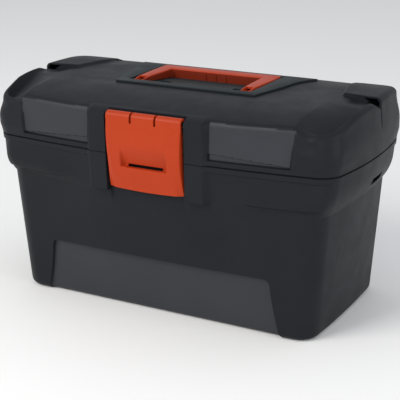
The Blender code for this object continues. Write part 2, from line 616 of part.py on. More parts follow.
def make_handle(finish):
    """The carry handle: a flat bail with a hollow underside, folded back into the deck."""
    handle = bpy.data.objects.new("carry_handle", bpy.data.meshes.new("carry_handle"))
    toolbox.objects.link(handle)
    bm = bmesh.new()
    low = Vector((-HANDLE_HALF, HANDLE_FRONT_Y, DECK_UNDER_Z))
    high = Vector((HANDLE_HALF, HANDLE_REAR_Y, HANDLE_TOP_Z))
    place = Matrix.Translation((low + high) / 2) @ Matrix.Diagonal((*(high - low), 1.0))
    bmesh.ops.create_cube(bm, size=1.0, matrix=place)
    bm.to_mesh(handle.data)
    bm.free()
    handle.data.materials.append(finish)
    opening = box("handle_opening", (-HANDLE_INNER_HALF, HANDLE_FRONT_Y - ABOVE, DECK_UNDER_Z - ABOVE),
                  (HANDLE_INNER_HALF, HANDLE_GRIP_Y, HANDLE_TOP_Z + ABOVE))
    boolean(handle, opening, "DIFFERENCE")
    below = box("handle_below", (-HANDLE_HALF - ABOVE, HANDLE_FRONT_Y - ABOVE, DECK_UNDER_Z - ABOVE),
                (HANDLE_HALF + ABOVE, HANDLE_REAR_Y + ABOVE, HANDLE_TOP_Z))
    for vertex in below.data.vertices:
        if vertex.co.z > DECK_UNDER_Z:
            vertex.co.z = well_floor(vertex.co.y) + HANDLE_LIFT
    boolean(handle, below, "DIFFERENCE")
    ahead = box("handle_ahead", (-HANDLE_HALF - ABOVE, HANDLE_FRONT_Y - ABOVE, HANDLE_TOP_Z),
                (HANDLE_HALF + ABOVE, HANDLE_SLOPE_Y, HANDLE_TOP_Z + ABOVE))
    fall = (HANDLE_TOP_Z - HANDLE_END_Z) / (HANDLE_SLOPE_Y - HANDLE_FRONT_Y)
    for vertex in ahead.data.vertices:
        if vertex.co.z < HANDLE_TOP_Z + GAP:
            vertex.co.z = HANDLE_TOP_Z - fall * (HANDLE_SLOPE_Y - vertex.co.y)
    boolean(handle, ahead, "DIFFERENCE")
    for sign, side in ((-1, "left"), (1, "right")):
        span = mirrored_span(sign, HANDLE_INNER_HALF, HANDLE_HALF)
        boss = rod_cutter(f"handle_boss_{side}", HANDLE_BOSS_RADIUS, *span, HANDLE_PIVOT_Y, HANDLE_PIVOT_Z)
        boolean(handle, boss, "UNION")
        core = box(f"arm_core_{side}", (span[0] + HANDLE_SKIN, HANDLE_FRONT_Y - ABOVE, DECK_UNDER_Z - ABOVE),
                   (span[1] - HANDLE_SKIN, HANDLE_REAR_Y - HANDLE_SKIN, HANDLE_TOP_Z - HANDLE_SKIN))
        boolean(handle, core, "DIFFERENCE")
        bore = rod_cutter(f"handle_bore_{side}", HANDLE_PIN_RADIUS + CLEAR,
                          span[0] - HANDLE_SKIN, span[1] + HANDLE_SKIN, HANDLE_PIVOT_Y, HANDLE_PIVOT_Z)
        boolean(handle, bore, "DIFFERENCE")
    reach = HANDLE_INNER_HALF + 1.5 * HANDLE_SKIN
    core = box("grip_core", (-reach, HANDLE_GRIP_Y + HANDLE_SKIN, DECK_UNDER_Z - ABOVE),
               (reach, HANDLE_REAR_Y - HANDLE_SKIN, HANDLE_TOP_Z - HANDLE_SKIN))
    boolean(handle, core, "DIFFERENCE")
    set_origin(handle, (0.0, HANDLE_PIVOT_Y, HANDLE_PIVOT_Z))
    return handle


# ---- Tray --------------------------------------------------------------------------------------
def tray_ring(outline, z):
    """One ring of the tray's outside."""
    return [(x, y, z) for x, y, _ in ring(outline, (0.0, 0.100), (0.0, 0.100))]


def make_tray(finish):
    """The lift-out tray: three pockets in front, one long one behind, and a web between them."""
    low = inset(TRAY_BASE_OUTLINE, TRAY_CHAMFER)
    rings = [tray_ring(low, TRAY_BASE_Z), tray_ring(TRAY_BASE_OUTLINE, TRAY_BASE_Z + TRAY_CHAMFER),
             tray_ring(TRAY_TOP_OUTLINE, TRAY_TOP_Z)]
    tray = loft("lift_out_tray", rings, finish)
    floor = TRAY_BASE_Z + TRAY_WALL
    reach_x = TRAY_BASE_OUTLINE[0] - POCKET_MARGIN[0]
    reach_y = TRAY_BASE_OUTLINE[1] - POCKET_MARGIN[1]
    near, far = POCKET_X - POCKET_WALL_HALF, POCKET_X + POCKET_WALL_HALF
    spans = {"front_left": (-reach_x, -far, -reach_y, -WEB_HALF),
             "front_middle": (-near, near, -reach_y, -WEB_HALF),
             "front_right": (far, reach_x, -reach_y, -WEB_HALF),
             "rear": (-reach_x, reach_x, WEB_HALF, reach_y)}
    for name, (left, right, front, rear) in spans.items():
        pocket = box(f"pocket_{name}", (left, front, floor), (right, rear, TRAY_TOP_Z + ABOVE))
        boolean(tray, pocket, "DIFFERENCE")
    notch = box("grip_notch", (-NOTCH_HALF[0], -NOTCH_HALF[1], NOTCH_Z),
                (NOTCH_HALF[0], NOTCH_HALF[1], TRAY_TOP_Z + ABOVE))
    boolean(tray, notch, "DIFFERENCE")
    return tray


def make_tray_grip(finish):
    """The tray's grip: a bridge that stands on the web."""
    half_depth = WEB_HALF + GRIP_OVERHANG
    block = box("grip_block", (-GRIP_HALF, -half_depth, TRAY_TOP_Z + GAP),
                (GRIP_HALF, half_depth, GRIP_TOP_Z))
    grip = add_object("tray_grip", block.data, finish)
    under = box("grip_under", (-GRIP_HALF + GRIP_LEG, -half_depth - ABOVE, TRAY_BASE_Z),
                (GRIP_HALF - GRIP_LEG, half_depth + ABOVE, GRIP_TOP_Z - GRIP_BAR))
    boolean(grip, under, "DIFFERENCE")
    bevel = grip.modifiers.new("soft_edges", "BEVEL")
    bevel.width = GRIP_EDGE
    bevel.segments = 1
    return grip


# ---- Build -------------------------------------------------------------------------------------
charcoal = material("charcoal_polypropylene", (0.024, 0.026, 0.028), 0.50)
deck_grey = material("deck_polypropylene", (0.027, 0.032, 0.033), 0.55)
orange = material("orange_polypropylene", (0.60, 0.075, 0.025), 0.42)
tray_grey = material("tray_polypropylene", (0.060, 0.063, 0.068), 0.50)
steel = material("zinc_plated_steel", (0.55, 0.56, 0.58), 0.35, 1.0)

make_body(charcoal)
make_lid(charcoal)
make_deck(deck_grey)
make_handle(orange)
make_latch(orange)
make_tray(tray_grey)
make_tray_grip(tray_grey)

for sign, side in ((-1, "left"), (1, "right")):
    reach = LID_KNUCKLE_HALF + BODY_KNUCKLE
    span = mirrored_span(sign, HINGE_X - reach, HINGE_X + reach)
    hinge_pin = rod_mesh(f"hinge_pin_{side}", HINGE_PIN_RADIUS, *span, HINGE_Y, HINGE_Z)
    add_object(f"hinge_pin_{side}", hinge_pin, steel)
    span = mirrored_span(sign, HANDLE_INNER_HALF - PIN_REACH[0], HANDLE_HALF + PIN_REACH[1])
    handle_pin = rod_mesh(f"handle_pin_{side}", HANDLE_PIN_RADIUS, *span, HANDLE_PIVOT_Y, HANDLE_PIVOT_Z)
    add_object(f"handle_pin_{side}", handle_pin, steel)

latch_pin = rod_mesh("latch_pin", HINGE_PIN_RADIUS, -LATCH_PIN_HALF, LATCH_PIN_HALF, LATCH_PIN_Y, LATCH_PIN_Z)
add_object("latch_pin", latch_pin, steel)
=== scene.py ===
"""Toolbox with tray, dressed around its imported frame: moulded shells, handle, latch, tray and stage.

Lengths are millimetres in this file, and the mesh builders turn them into metres.
The frame gives the places: +X along the length, -Y to the front, +Z up from the base.
"""

import json
import math

import bmesh
import bpy
from mathutils import Matrix, Vector


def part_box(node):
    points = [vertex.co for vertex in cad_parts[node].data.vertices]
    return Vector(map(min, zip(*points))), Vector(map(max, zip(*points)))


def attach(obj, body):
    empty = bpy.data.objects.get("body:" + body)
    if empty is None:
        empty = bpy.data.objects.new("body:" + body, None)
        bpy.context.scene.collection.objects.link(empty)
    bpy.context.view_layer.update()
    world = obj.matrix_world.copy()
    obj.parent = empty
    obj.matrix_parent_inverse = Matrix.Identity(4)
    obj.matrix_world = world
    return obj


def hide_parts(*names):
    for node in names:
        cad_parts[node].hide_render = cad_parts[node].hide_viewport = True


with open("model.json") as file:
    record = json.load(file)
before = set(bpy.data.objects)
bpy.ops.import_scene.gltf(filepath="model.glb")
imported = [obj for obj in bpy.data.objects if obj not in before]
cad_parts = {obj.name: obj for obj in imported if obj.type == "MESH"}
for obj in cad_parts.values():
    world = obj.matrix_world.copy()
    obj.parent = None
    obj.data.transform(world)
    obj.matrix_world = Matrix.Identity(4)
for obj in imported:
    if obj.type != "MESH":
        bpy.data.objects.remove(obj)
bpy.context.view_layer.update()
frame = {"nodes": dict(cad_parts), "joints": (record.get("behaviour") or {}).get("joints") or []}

bl_info = {
    "name": "Moulded toolbox",
    "version": (1, 0, 0),
    "blender": (4, 5, 0),
    "location": "View3D > Sidebar > Toolbox",
    "description": "Builds a moulded toolbox with its lid, latch, handle and tray",
    "category": "Add Mesh",
}

MM = 0.001


def box_mm(node):
    """Lowest and highest corner of a node of the frame, in millimetres."""
    low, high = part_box(node)
    return low / MM, high / MM


def joint_mm(name):
    """A point on a joint's axis, in millimetres."""
    found = next(joint for joint in frame["joints"] if joint["name"] == name)
    return Vector(found["pos_m"]) / MM


HINGE = joint_mm("lid_hinge")
LATCH_PIN = joint_mm("latch_hinge")
HANDLE_PIN = joint_mm("handle_hinge")
BODY_HIGH = box_mm("body_shell")[1]
LID_HIGH = box_mm("lid_shell")[1]
TRAY_LOW, TRAY_HIGH = box_mm("lift_out_tray")
LATCH_LOW, LATCH_HIGH = box_mm("front_latch")
HANDLE_LOW, HANDLE_HIGH = box_mm("carry_handle")
DECK_LOW, DECK_HIGH = box_mm("handle_deck")
GRIP_LOW, GRIP_HIGH = box_mm("tray_grip")
HINGE_PIN_LOW, HINGE_PIN_HIGH = box_mm("hinge_pin_right")

# ---- Shell proportions, set out from the frame --------------------------------------------------
RIM_Z = HINGE.z + 1.4
SEAM_Z = HINGE.z + 2.0
TAPER_Z = SEAM_Z - 41.0
RIM_STRIP_Z = RIM_Z - 6.4
BODY_WALL = 2.6
LID_WALL = 2.8
FLOOR = 3.0

# Outlines: half length and half depth at the corners, corner radius, and how far each side bows out
BASE_OUTLINE = (BODY_HIGH.x - 32.0, 88.0, 20.0, 3.0, 2.5)
TAPER_OUTLINE = (BODY_HIGH.x - 22.0, 90.0, 20.0, 7.0, 8.0)
SEAM_OUTLINE = (BODY_HIGH.x - 10.0, 92.0, 17.0, 10.0, 14.0)
BUMPER_OUTLINE = (BODY_HIGH.x - 7.5, 94.0, 19.0, 7.5, 12.0)
CROWN_OUTLINE = (BODY_HIGH.x - 11.0, 90.5, 20.0, 9.0, 13.0)

# Body: foot, shoulder, slots in the ends, shelves for the tray and hinge knuckles
FOOT_RADIUS = 7.0
CREASE_Z = TAPER_Z - 3.0
CREASE_RISE = 6.5
SHOULDER_FRONT = 14.0
SHOULDER_END = 32.0
SHOULDER_LIP = 3.2
END_SLOT_LOW = (190.0, 6.0, 145.0)
END_SLOT_HIGH = (215.0, 36.0, 152.5)
SHELF_SPAN = (176.0, 193.0)
SHELF_HALF_Y = 28.0
SHELF_THICK = 5.0
KNUCKLE_RADIUS = 5.5
KNUCKLE_LENGTH = 10.0
KNUCKLE_GAP = 0.4
PIN_BORE_RADIUS = 2.3

# The latch's block: two cheeks with the channel between them
CHANNEL_HALF = LATCH_HIGH.x + 1.3
CHEEK_HALF = 67.0
CHEEK_FOOT_HALF = 72.0
CHEEK_Y = LATCH_PIN.y - 4.0
CHEEK_BASE_Z = TAPER_Z - 0.5
BODY_CHANNEL_Y = LATCH_PIN.y + 5.0
LID_CHANNEL_Y = LATCH_PIN.y + 6.7
BLOCK_TOP_Z = LATCH_PIN.z + 2.5

# Latch: a plate that swells in the middle, with a slight waist, a scoop and a slotted top
LATCH_HALF = LATCH_HIGH.x - 0.6
LATCH_MIDDLE_Z = 188.0
LATCH_REACH_Z = 44.0
LATCH_SWELL = 4.6
LATCH_WAIST = 0.030
LATCH_ROLL = 5.5
LATCH_EYE = 2.3
LATCH_SLOT_X = 14.5
LATCH_SLOT_HALF = 1.25
SCOOP_HALF = 29.0
SCOOP_DEPTH = 5.4
LEDGE_HALF = 21.0

# Body: the smoother panel on the front
PANEL_TOP_Z = 63.0
PANEL_HALF_TOP = 133.0
PANEL_HALF_BASE = 144.0
PANEL_Y = -85.5
PANEL_LEAN = 0.030

# Lid: crown, end facets, bumpers, flange, groove, panels and ears
CROWN_Z = DECK_HIGH.z - 2.1
CROWN_Y = 8.0
CROWN_FLAT = 38.0
CROWN_FALL = 0.00205
ROLL = 6.0
END_FACET_X = 160.0
END_FACET_FALL = 0.07
END_FACET_STEEPER = 0.0064
END_FACET_LENGTH = 35.0
BUMPER_X = 160.0
BUMPER_RIM = 1.2
BUMPER_LEVEL_Y = 11.0
BUMPER_CURVE = 34.0
BUMPER_SLOPE = 0.30
FLANGE = 5.4
GROOVE_DEPTH = 6.5
PANEL_SET_BACK = 1.5
EAR_Y = 14.0
EAR_Z = LID_HIGH.z
EAR_EDGE_X = 165.0
EAR_SLANT = 13.0
POCKET_INNER_X = 188.0
POCKET_OUTER_X = 205.4

# The handle's well, and the handle with its pivots and finger pockets
WELL_HALF = HANDLE_HIGH.x + 2.0
WELL_FRONT_Y = HANDLE_LOW.y - 3.0
WELL_REAR_Y = HANDLE_HIGH.y + 2.0
WELL_FRONT_Z = 231.0
WELL_REAR_Z = 223.8
UNDER_HALF = 51.0
# The lid top's rings shrink towards this outline
WINDOW = (79.5, 46.0, 2.0, 0.0, 0.0)
WINDOW_Y = 28.0
WINDOW_SCALE = 0.40
HANDLE_INNER_HALF = 57.0
HANDLE_GRIP_Y = 48.0
HANDLE_SLOPE_Y = 2.0
HANDLE_SLOPE = 2.0
OUTER_TAPER = -1.5
INNER_TAPER = 2.5
ARM_MOUTH_SPAN = (61.0, 70.0)
ARM_FLOOR_SPAN = (60.6, 70.4)
BOSS_SPANS = ((59.6, 61.4), (69.6, 71.4))
BOSS_RADIUS = 5.0
FINGER_POCKET_SPAN = (39.0, 54.0)
POCKET_FLOOR_Z = 222.5


# ---- Sizes and colours that a user may change ---------------------------------------------------
class ShellSettings(bpy.types.PropertyGroup):
    """Sizes of the moulded shells."""
    edge_radius: bpy.props.FloatProperty(
        name="Edge radius", description="Small rounding on the deck, knuckles and shelves",
        default=0.6 * MM, min=0.1 * MM, max=1.0 * MM, unit="LENGTH")
    lip_height: bpy.props.FloatProperty(
        name="Rim lip", description="Height of the lip inside the body's rim",
        default=2.8 * MM, min=0.0, max=3.0 * MM, unit="LENGTH")


def colour_setting(name, description, value):
    """A colour property from a hex sRGB value."""
    return bpy.props.FloatVectorProperty(
        name=name, description=description, subtype="COLOR", size=3, min=0.0, max=1.0,
        default=linear(value))


def linear(value):
    """A hex sRGB colour as three linear values."""
    channels = [int(value[start:start + 2], 16) / 255.0 for start in (1, 3, 5)]
    return tuple(c / 12.92 if c <= 0.04045 else ((c + 0.055) / 1.055) ** 2.4 for c in channels)


class ColourSettings(bpy.types.PropertyGroup):
    """Colours of the mouldings and the stage."""
    # charcoal also colours the latch and handle pins, as painted shade
    charcoal: colour_setting("Charcoal", "Body and lid", "#1B1D21")
    panel: colour_setting("Panels", "Smoother front panels of the body and lid", "#35373B")
    deck: colour_setting("Deck", "Plate round the handle", "#252A2C")
    orange: colour_setting("Orange", "Latch and handle", "#AE3917")
    tray: colour_setting("Tray", "Lift-out tray and its grip", "#404347")
    zinc: colour_setting("Zinc", "Hinge pins", "#C3C6CA")
    floor: colour_setting("Floor", "Stage floor", "#FBFAF8")


def shell():
    """The shell sizes in use."""
    return bpy.context.scene.toolbox_shell


def colours():
    """The colours in use."""
    return bpy.context.scene.toolbox_colours


# ---- Small geometry helpers ---------------------------------------------------------------------
def ease(low, high, value):
    """0 below low, 1 above high, and a smooth rise between."""
    part = min(max((value - low) / (high - low), 0.0), 1.0)
    return part * part * (3.0 - 2.0 * part)


def mix(first, second, part):
    """A value, or each value of a tuple, between two."""
    if isinstance(first, tuple):
        return tuple(mix(a, b, part) for a, b in zip(first, second))
    return first + (second - first) * part


def inset(outline, distance):
    """An outline moved inwards."""
    half_length, half_depth, radius, bow_x, bow_y = outline
    return (half_length - distance, half_depth - distance, max(radius - distance, 2.0), bow_x, bow_y)


def steps(low, high, size):
    """Even steps from low up to, but not reaching, high."""
    count = max(round((high - low) / size), 1)
    return [low + (high - low) * index / count for index in range(count)]


class Rail:
    """Positions along a side: close together round its anchors and evenly spread between them."""

    def __init__(self, anchors, near, size):
        self.near = near
        self.counts = []
        for index in range(len(anchors) - 1):
            gap = anchors[index + 1] + near[index + 1][0] - anchors[index] - near[index][-1]
            self.counts.append(max(round(gap / size), 1))

    def at(self, anchors):
        """The positions for these anchors, the first and last ones included."""
        places = []
        for index, anchor in enumerate(anchors):
            places += [anchor + offset for offset in self.near[index]]
            if index < len(self.counts):
                start = places[-1]
                stop = anchors[index + 1] + self.near[index + 1][0]
                count = self.counts[index]
                places += [mix(start, stop, step / count) for step in range(1, count)]
        return places


def mirrored(half):
    """Positions on both sides of zero from those on one side, which start at zero."""
    return [-place for place in reversed(half[1:])] + half


def ring(outline, front_x, end_y, rear_x, corner_steps, centre_y=0.0):
    """Points (x, y, side, station) round a bowed rounded rectangle, counterclockwise from above."""
    half_length, half_depth, radius, bow_x, bow_y = outline
    straight_x = half_length - radius
    straight_y = half_depth - radius
    points = []

    def bowed(x, y, side, station):
        out_y = bow_y * max(1.0 - (x / half_length) ** 2, 0.0) * abs(y) / half_depth
        out_x = bow_x * max(1.0 - (y / half_depth) ** 2, 0.0) * abs(x) / half_length
        points.append((x + math.copysign(out_x, x), y + math.copysign(out_y, y) + centre_y, side, station))

    def corner(sign_x, sign_y, start, side):
        for step in range(corner_steps + 1):
            angle = start + math.pi / 2 * step / corner_steps
            bowed(sign_x * straight_x + radius * math.cos(angle),
                  sign_y * straight_y + radius * math.sin(angle), side, angle)

    for x in front_x:
        bowed(x, -half_depth, "front", x)
    corner(1, -1, -math.pi / 2, "front corner")
    for y in end_y:
        bowed(half_length, y, "end", y)
    corner(1, 1, 0.0, "rear corner")
    for x in reversed(rear_x):
        bowed(x, half_depth, "rear", x)
    corner(-1, 1, math.pi / 2, "rear corner")
    for y in reversed(end_y):
        bowed(-half_length, y, "end", y)
    corner(-1, -1, math.pi, "front corner")
    return points


# ---- Building meshes ----------------------------------------------------------------------------
def loft_mesh(name, rows, closed=False, caps=True, panel_test=None):
    """A skin through rows of points; closed joins the last row to the first. Points are millimetres."""
    bm = bmesh.new()
    lines = [[bm.verts.new(Vector(point) * MM) for point in row] for row in rows]
    pairs = list(zip(lines, lines[1:]))
    if closed:
        pairs.append((lines[-1], lines[0]))
    for lower, upper in pairs:
        for index, vertex in enumerate(lower):
            after = (index + 1) % len(lower)
            bm.faces.new((vertex, lower[after], upper[after], upper[index]))
    if caps and not closed:
        bm.faces.new(reversed(lines[0]))
        bm.faces.new(lines[-1])
    if panel_test:
        for face in bm.faces:
            face.material_index = 1 if panel_test(face.calc_center_median() / MM) else 0
    mesh = bpy.data.meshes.new(name)
    bm.to_mesh(mesh)
    bm.free()
    return mesh


def box_mesh(name, low, high):
    """A box between two corners, in millimetres."""
    low, high = Vector(low) * MM, Vector(high) * MM
    bm = bmesh.new()
    place = Matrix.Translation((low + high) / 2) @ Matrix.Diagonal((*(high - low), 1.0))
    bmesh.ops.create_cube(bm, size=1.0, matrix=place)
    mesh = bpy.data.meshes.new(name)
    bm.to_mesh(mesh)
    bm.free()
    return mesh


def rod_mesh(name, radius, span, y, z, sides=40):
    """A closed cylinder along X, in millimetres."""
    bm = bmesh.new()
    place = Matrix.Translation(Vector((sum(span) / 2, y, z)) * MM) @ Matrix.Rotation(math.pi / 2, 4, "Y")
    bmesh.ops.create_cone(bm, cap_ends=True, segments=sides, radius1=radius * MM, radius2=radius * MM,
                          depth=(span[1] - span[0]) * MM, matrix=place)
    mesh = bpy.data.meshes.new(name)
    bm.to_mesh(mesh)
    bm.free()
    return mesh


def temporary(mesh):
    """An object for Boolean work, removed later."""
    made = bpy.data.objects.new(mesh.name, mesh)
    bpy.context.scene.collection.objects.link(made)
    return made


def carve(mesh, cuts=(), joins=()):
    """Cut and join closed meshes, and return the result as a plain mesh."""
    base = temporary(mesh)
    tools = [("DIFFERENCE", temporary(cut)) for cut in cuts] + [("UNION", temporary(join)) for join in joins]
    tools.sort(key=lambda tool: tool[0] == "DIFFERENCE")
    for operation, tool in tools:
        modifier = base.modifiers.new(operation, "BOOLEAN")
        modifier.operation = operation
        modifier.object = tool
        modifier.solver = "EXACT"
    bpy.context.view_layer.update()
    result = bpy.data.meshes.new_from_object(base.evaluated_get(bpy.context.evaluated_depsgraph_get()))
    for tool in [base] + [tool for operation, tool in tools]:
        bpy.data.objects.remove(tool)
    result.name = mesh.name
    return result


def soften(mesh, width, segments=2, angle=35.0):
    """Round a mesh's sharp edges, width in millimetres."""
    base = temporary(mesh)
    bevel = base.modifiers.new("soft edges", "BEVEL")
    bevel.width = width * MM
    bevel.segments = segments
    bevel.limit_method = "ANGLE"
    bevel.angle_limit = math.radians(angle)
    bevel.use_clamp_overlap = True
    bevel.harden_normals = False
    bpy.context.view_layer.update()
    result = bpy.data.meshes.new_from_object(base.evaluated_get(bpy.context.evaluated_depsgraph_get()))
    bpy.data.objects.remove(base)
    result.name = mesh.name
    return result


def joined(name, meshes):
    """Several closed meshes as one."""
    bm = bmesh.new()
    for mesh in meshes:
        bm.from_mesh(mesh)
    result = bpy.data.meshes.new(name)
    bm.to_mesh(result)
    bm.free()
    return result


def outward(mesh):
    """A closed mesh with its normals turned outwards."""
    bm = bmesh.new()
    bm.from_mesh(mesh)
    bmesh.ops.recalc_face_normals(bm, faces=bm.faces)
    bm.to_mesh(mesh)
    bm.free()
    return mesh


def add_piece(name, mesh, finishes, body, replaced=(), smooth_angle=35.0):
    """Link a finished mesh as a piece of the toolbox and tie it to the frame."""
    for finish in finishes:
        mesh.materials.append(finish)
    mesh.shade_smooth()
    mesh.set_sharp_from_angle(angle=math.radians(smooth_angle))
    piece = bpy.data.objects.new(name, mesh)
    bpy.context.scene.collection.objects.link(piece)
    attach(piece, body)
    if replaced:
        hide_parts(*replaced)
    return piece


# ---- Finishes -----------------------------------------------------------------------------------
def add_node(tree, kind, settings=None, links=None):
    """Add one node, set its properties or inputs, and link its inputs from other nodes' outputs."""
    node = tree.nodes.new(kind)
    for key, value in (settings or {}).items():
        if key in node.inputs:
            node.inputs[key].default_value = value
        else:
            setattr(node, key, value)
    for key, source in (links or {}).items():
        tree.links.new(source, node.inputs[key])
    return node


def moulded_plastic(name, colour, roughness, grain, bump, mottle=0.10, specular=0.14):
    """A moulded polymer: one through colour, a spark-eroded grain from the mould, and faint flow mottling."""
    finish = bpy.data.materials.new(name)
    finish.use_nodes = True
    tree = finish.node_tree
    tree.nodes.clear()
    place = add_node(tree, "ShaderNodeTexCoord")
    # Grain: the mould's texture stands about 0.3 mm apart; it is drawn at the size given so that it shows
    grit = add_node(tree, "ShaderNodeTexNoise", {
        "Scale": 1.0 / (grain * MM), "Detail": 2.0, "Roughness": 0.6}, {"Vector": place.outputs["Object"]})
    # Flow mottling: 60 mm clouds where the melt filled the mould unevenly
    cloud = add_node(tree, "ShaderNodeTexNoise", {
        "Scale": 1.0 / (60.0 * MM), "Detail": 3.0, "Roughness": 0.5}, {"Vector": place.outputs["Object"]})
    tone = add_node(tree, "ShaderNodeMapRange", {"From Min": 0.3, "From Max": 0.7,
                    "To Min": 1.0 - mottle, "To Max": 1.0 + mottle}, {"Value": cloud.outputs["Fac"]})
    fleck = add_node(tree, "ShaderNodeMapRange", {"From Min": 0.3, "From Max": 0.7,
                     "To Min": 0.94, "To Max": 1.06}, {"Value": grit.outputs["Fac"]})
    depth = add_node(tree, "ShaderNodeMath", {"operation": "MULTIPLY"})
    tree.links.new(tone.outputs["Result"], depth.inputs[0])
    tree.links.new(fleck.outputs["Result"], depth.inputs[1])
    tint = add_node(tree, "ShaderNodeVectorMath", {"operation": "SCALE"}, {"Scale": depth.outputs["Value"]})
    tint.inputs[0].default_value = colour
    # Handling: rubbed patches about 25 mm across are a little glossier
    rub = add_node(tree, "ShaderNodeTexNoise", {"Scale": 1.0 / (25.0 * MM), "Detail": 4.0, "Roughness": 0.6},
                   {"Vector": place.outputs["Object"]})
    sheen = add_node(tree, "ShaderNodeMapRange", {"From Min": 0.35, "From Max": 0.65,
                     "To Min": roughness - 0.04, "To Max": roughness + 0.04}, {"Value": rub.outputs["Fac"]})
    relief = add_node(tree, "ShaderNodeBump", {"Strength": bump, "Distance": 0.05 * MM},
                      {"Height": grit.outputs["Fac"]})
    shader = add_node(tree, "ShaderNodeBsdfPrincipled", {"IOR": 1.49, "Specular IOR Level": specular},
                      {"Base Color": tint.outputs["Vector"], "Roughness": sheen.outputs["Result"],
                       "Normal": relief.outputs["Normal"]})
    add_node(tree, "ShaderNodeOutputMaterial", links={"Surface": shader.outputs["BSDF"]})
    return finish


def zinc_plate(name, colour):
    """Bright zinc plating on drawn steel rod: cool grey metal with fine lengthwise drawing marks."""
    finish = bpy.data.materials.new(name)
    finish.use_nodes = True
    tree = finish.node_tree
    tree.nodes.clear()
    place = add_node(tree, "ShaderNodeTexCoord")
    stretch = add_node(tree, "ShaderNodeMapping", {"Scale": (0.04, 1.0, 1.0)},
                       {"Vector": place.outputs["Object"]})
    marks = add_node(tree, "ShaderNodeTexNoise", {"Scale": 1.0 / (0.4 * MM), "Detail": 3.0},
                     {"Vector": stretch.outputs["Vector"]})
    rough = add_node(tree, "ShaderNodeMapRange", {"To Min": 0.22, "To Max": 0.42},
                     {"Value": marks.outputs["Fac"]})
    relief = add_node(tree, "ShaderNodeBump", {"Strength": 0.3, "Distance": 0.02 * MM},
                      {"Height": marks.outputs["Fac"]})
    shader = add_node(tree, "ShaderNodeBsdfPrincipled", {"Base Color": (*colour, 1.0), "Metallic": 1.0},
                      {"Roughness": rough.outputs["Result"], "Normal": relief.outputs["Normal"]})
    add_node(tree, "ShaderNodeOutputMaterial", links={"Surface": shader.outputs["BSDF"]})
    return finish


FINISHES = {}


def finish(name):
    """A finish by name, made on first use."""
    if name not in FINISHES:
        FINISHES[name] = FINISH_MAKERS[name]()
    return FINISHES[name]


FINISH_MAKERS = {
    # Polypropylene from a spark-eroded mould: satin black-grey, faint orange-peel sparkle in raking light
    "textured polypropylene": lambda: moulded_plastic(
        "textured_polypropylene", colours().charcoal, 0.47, 0.9, 0.35),
    # The same melt against a finer mould face: a little lighter and smoother, so the panels stand out
    "fine polypropylene": lambda: moulded_plastic(
        "fine_polypropylene", colours().panel, 0.42, 0.7, 0.20, mottle=0.05),
    # Deck plate from another mould: greener grey, the dullest of the three
    "deck polypropylene": lambda: moulded_plastic(
        "deck_polypropylene", colours().deck, 0.52, 0.8, 0.35),
    # Pigmented polypropylene from a polished mould: saturated orange with a soft gloss
    "orange polypropylene": lambda: moulded_plastic(
        "orange_polypropylene", colours().orange, 0.36, 1.2, 0.10, mottle=0.04),
    # The handle's finger side: grained and duller, and darkened to 0.40 of the orange as painted shade for
    # the shadow in the handle's well
    "orange polypropylene with painted shade": lambda: moulded_plastic(
        "orange_polypropylene_with_painted_shade", [part * 0.40 for part in colours().orange], 0.55, 0.9, 0.25,
        mottle=0.04),
    # Tray polypropylene: mid grey, satin, fine grain
    "tray polypropylene": lambda: moulded_plastic(
        "tray_polypropylene", colours().tray, 0.48, 0.8, 0.30),
    # The latch's and the handle's pins take the charcoal colour as painted shade, so they read as the shade
    # in the gaps round them and stay out of sight
    "steel with painted shade": lambda: zinc_plate("steel_with_painted_shade", colours().charcoal),
    "zinc plated steel": lambda: zinc_plate("zinc_plated_steel", colours().zinc),
}


# ---- Repeats with Geometry Nodes ----------------------------------------------------------------
def rib_tree():
    """Node tree: a straight row of equal box ribs, with its sizes as inputs."""
    found = bpy.data.node_groups.get("rib_row")
    if found:
        return found
    tree = bpy.data.node_groups.new("rib_row", "GeometryNodeTree")
    face = tree.interface
    face.new_socket("Geometry", in_out="INPUT", socket_type="NodeSocketGeometry")
    face.new_socket("Count", in_out="INPUT", socket_type="NodeSocketInt")
    for label in ("Start", "Spacing", "Rib size"):
        face.new_socket(label, in_out="INPUT", socket_type="NodeSocketVector")
    face.new_socket("Finish", in_out="INPUT", socket_type="NodeSocketMaterial")
    face.new_socket("Geometry", in_out="OUTPUT", socket_type="NodeSocketGeometry")
    inputs = add_node(tree, "NodeGroupInput")
    row = add_node(tree, "GeometryNodeMeshLine", {"mode": "OFFSET"}, {
        "Count": inputs.outputs["Count"], "Start Location": inputs.outputs["Start"],
        "Offset": inputs.outputs["Spacing"]})
    rib = add_node(tree, "GeometryNodeMeshCube", links={"Size": inputs.outputs["Rib size"]})
    placed = add_node(tree, "GeometryNodeInstanceOnPoints", links={
        "Points": row.outputs["Mesh"], "Instance": rib.outputs["Mesh"]})
    real = add_node(tree, "GeometryNodeRealizeInstances", links={"Geometry": placed.outputs["Instances"]})
    dressed = add_node(tree, "GeometryNodeSetMaterial", links={
        "Geometry": real.outputs["Geometry"], "Material": inputs.outputs["Finish"]})
    add_node(tree, "NodeGroupOutput", links={"Geometry": dressed.outputs["Geometry"]})
    return tree


def rib_row(name, count, start, spacing, size, finish_used):
    """Bake one row of ribs to a plain mesh; lengths in millimetres."""
    tree = rib_tree()
    values = {"Count": count, "Start": Vector(start) * MM, "Spacing": Vector(spacing) * MM,
              "Rib size": Vector(size) * MM, "Finish": finish_used}
    base = temporary(bpy.data.meshes.new(name))
    modifier = base.modifiers.new("rib row", "NODES")
    modifier.node_group = tree
    for item in tree.interface.items_tree:
        if item.in_out == "INPUT" and item.name in values:
            modifier[item.identifier] = values[item.name]
    bpy.context.view_layer.update()
    result = bpy.data.meshes.new_from_object(base.evaluated_get(bpy.context.evaluated_depsgraph_get()))
    base.modifiers.remove(modifier)
    bpy.data.objects.remove(base)
    result.name = name
    return result


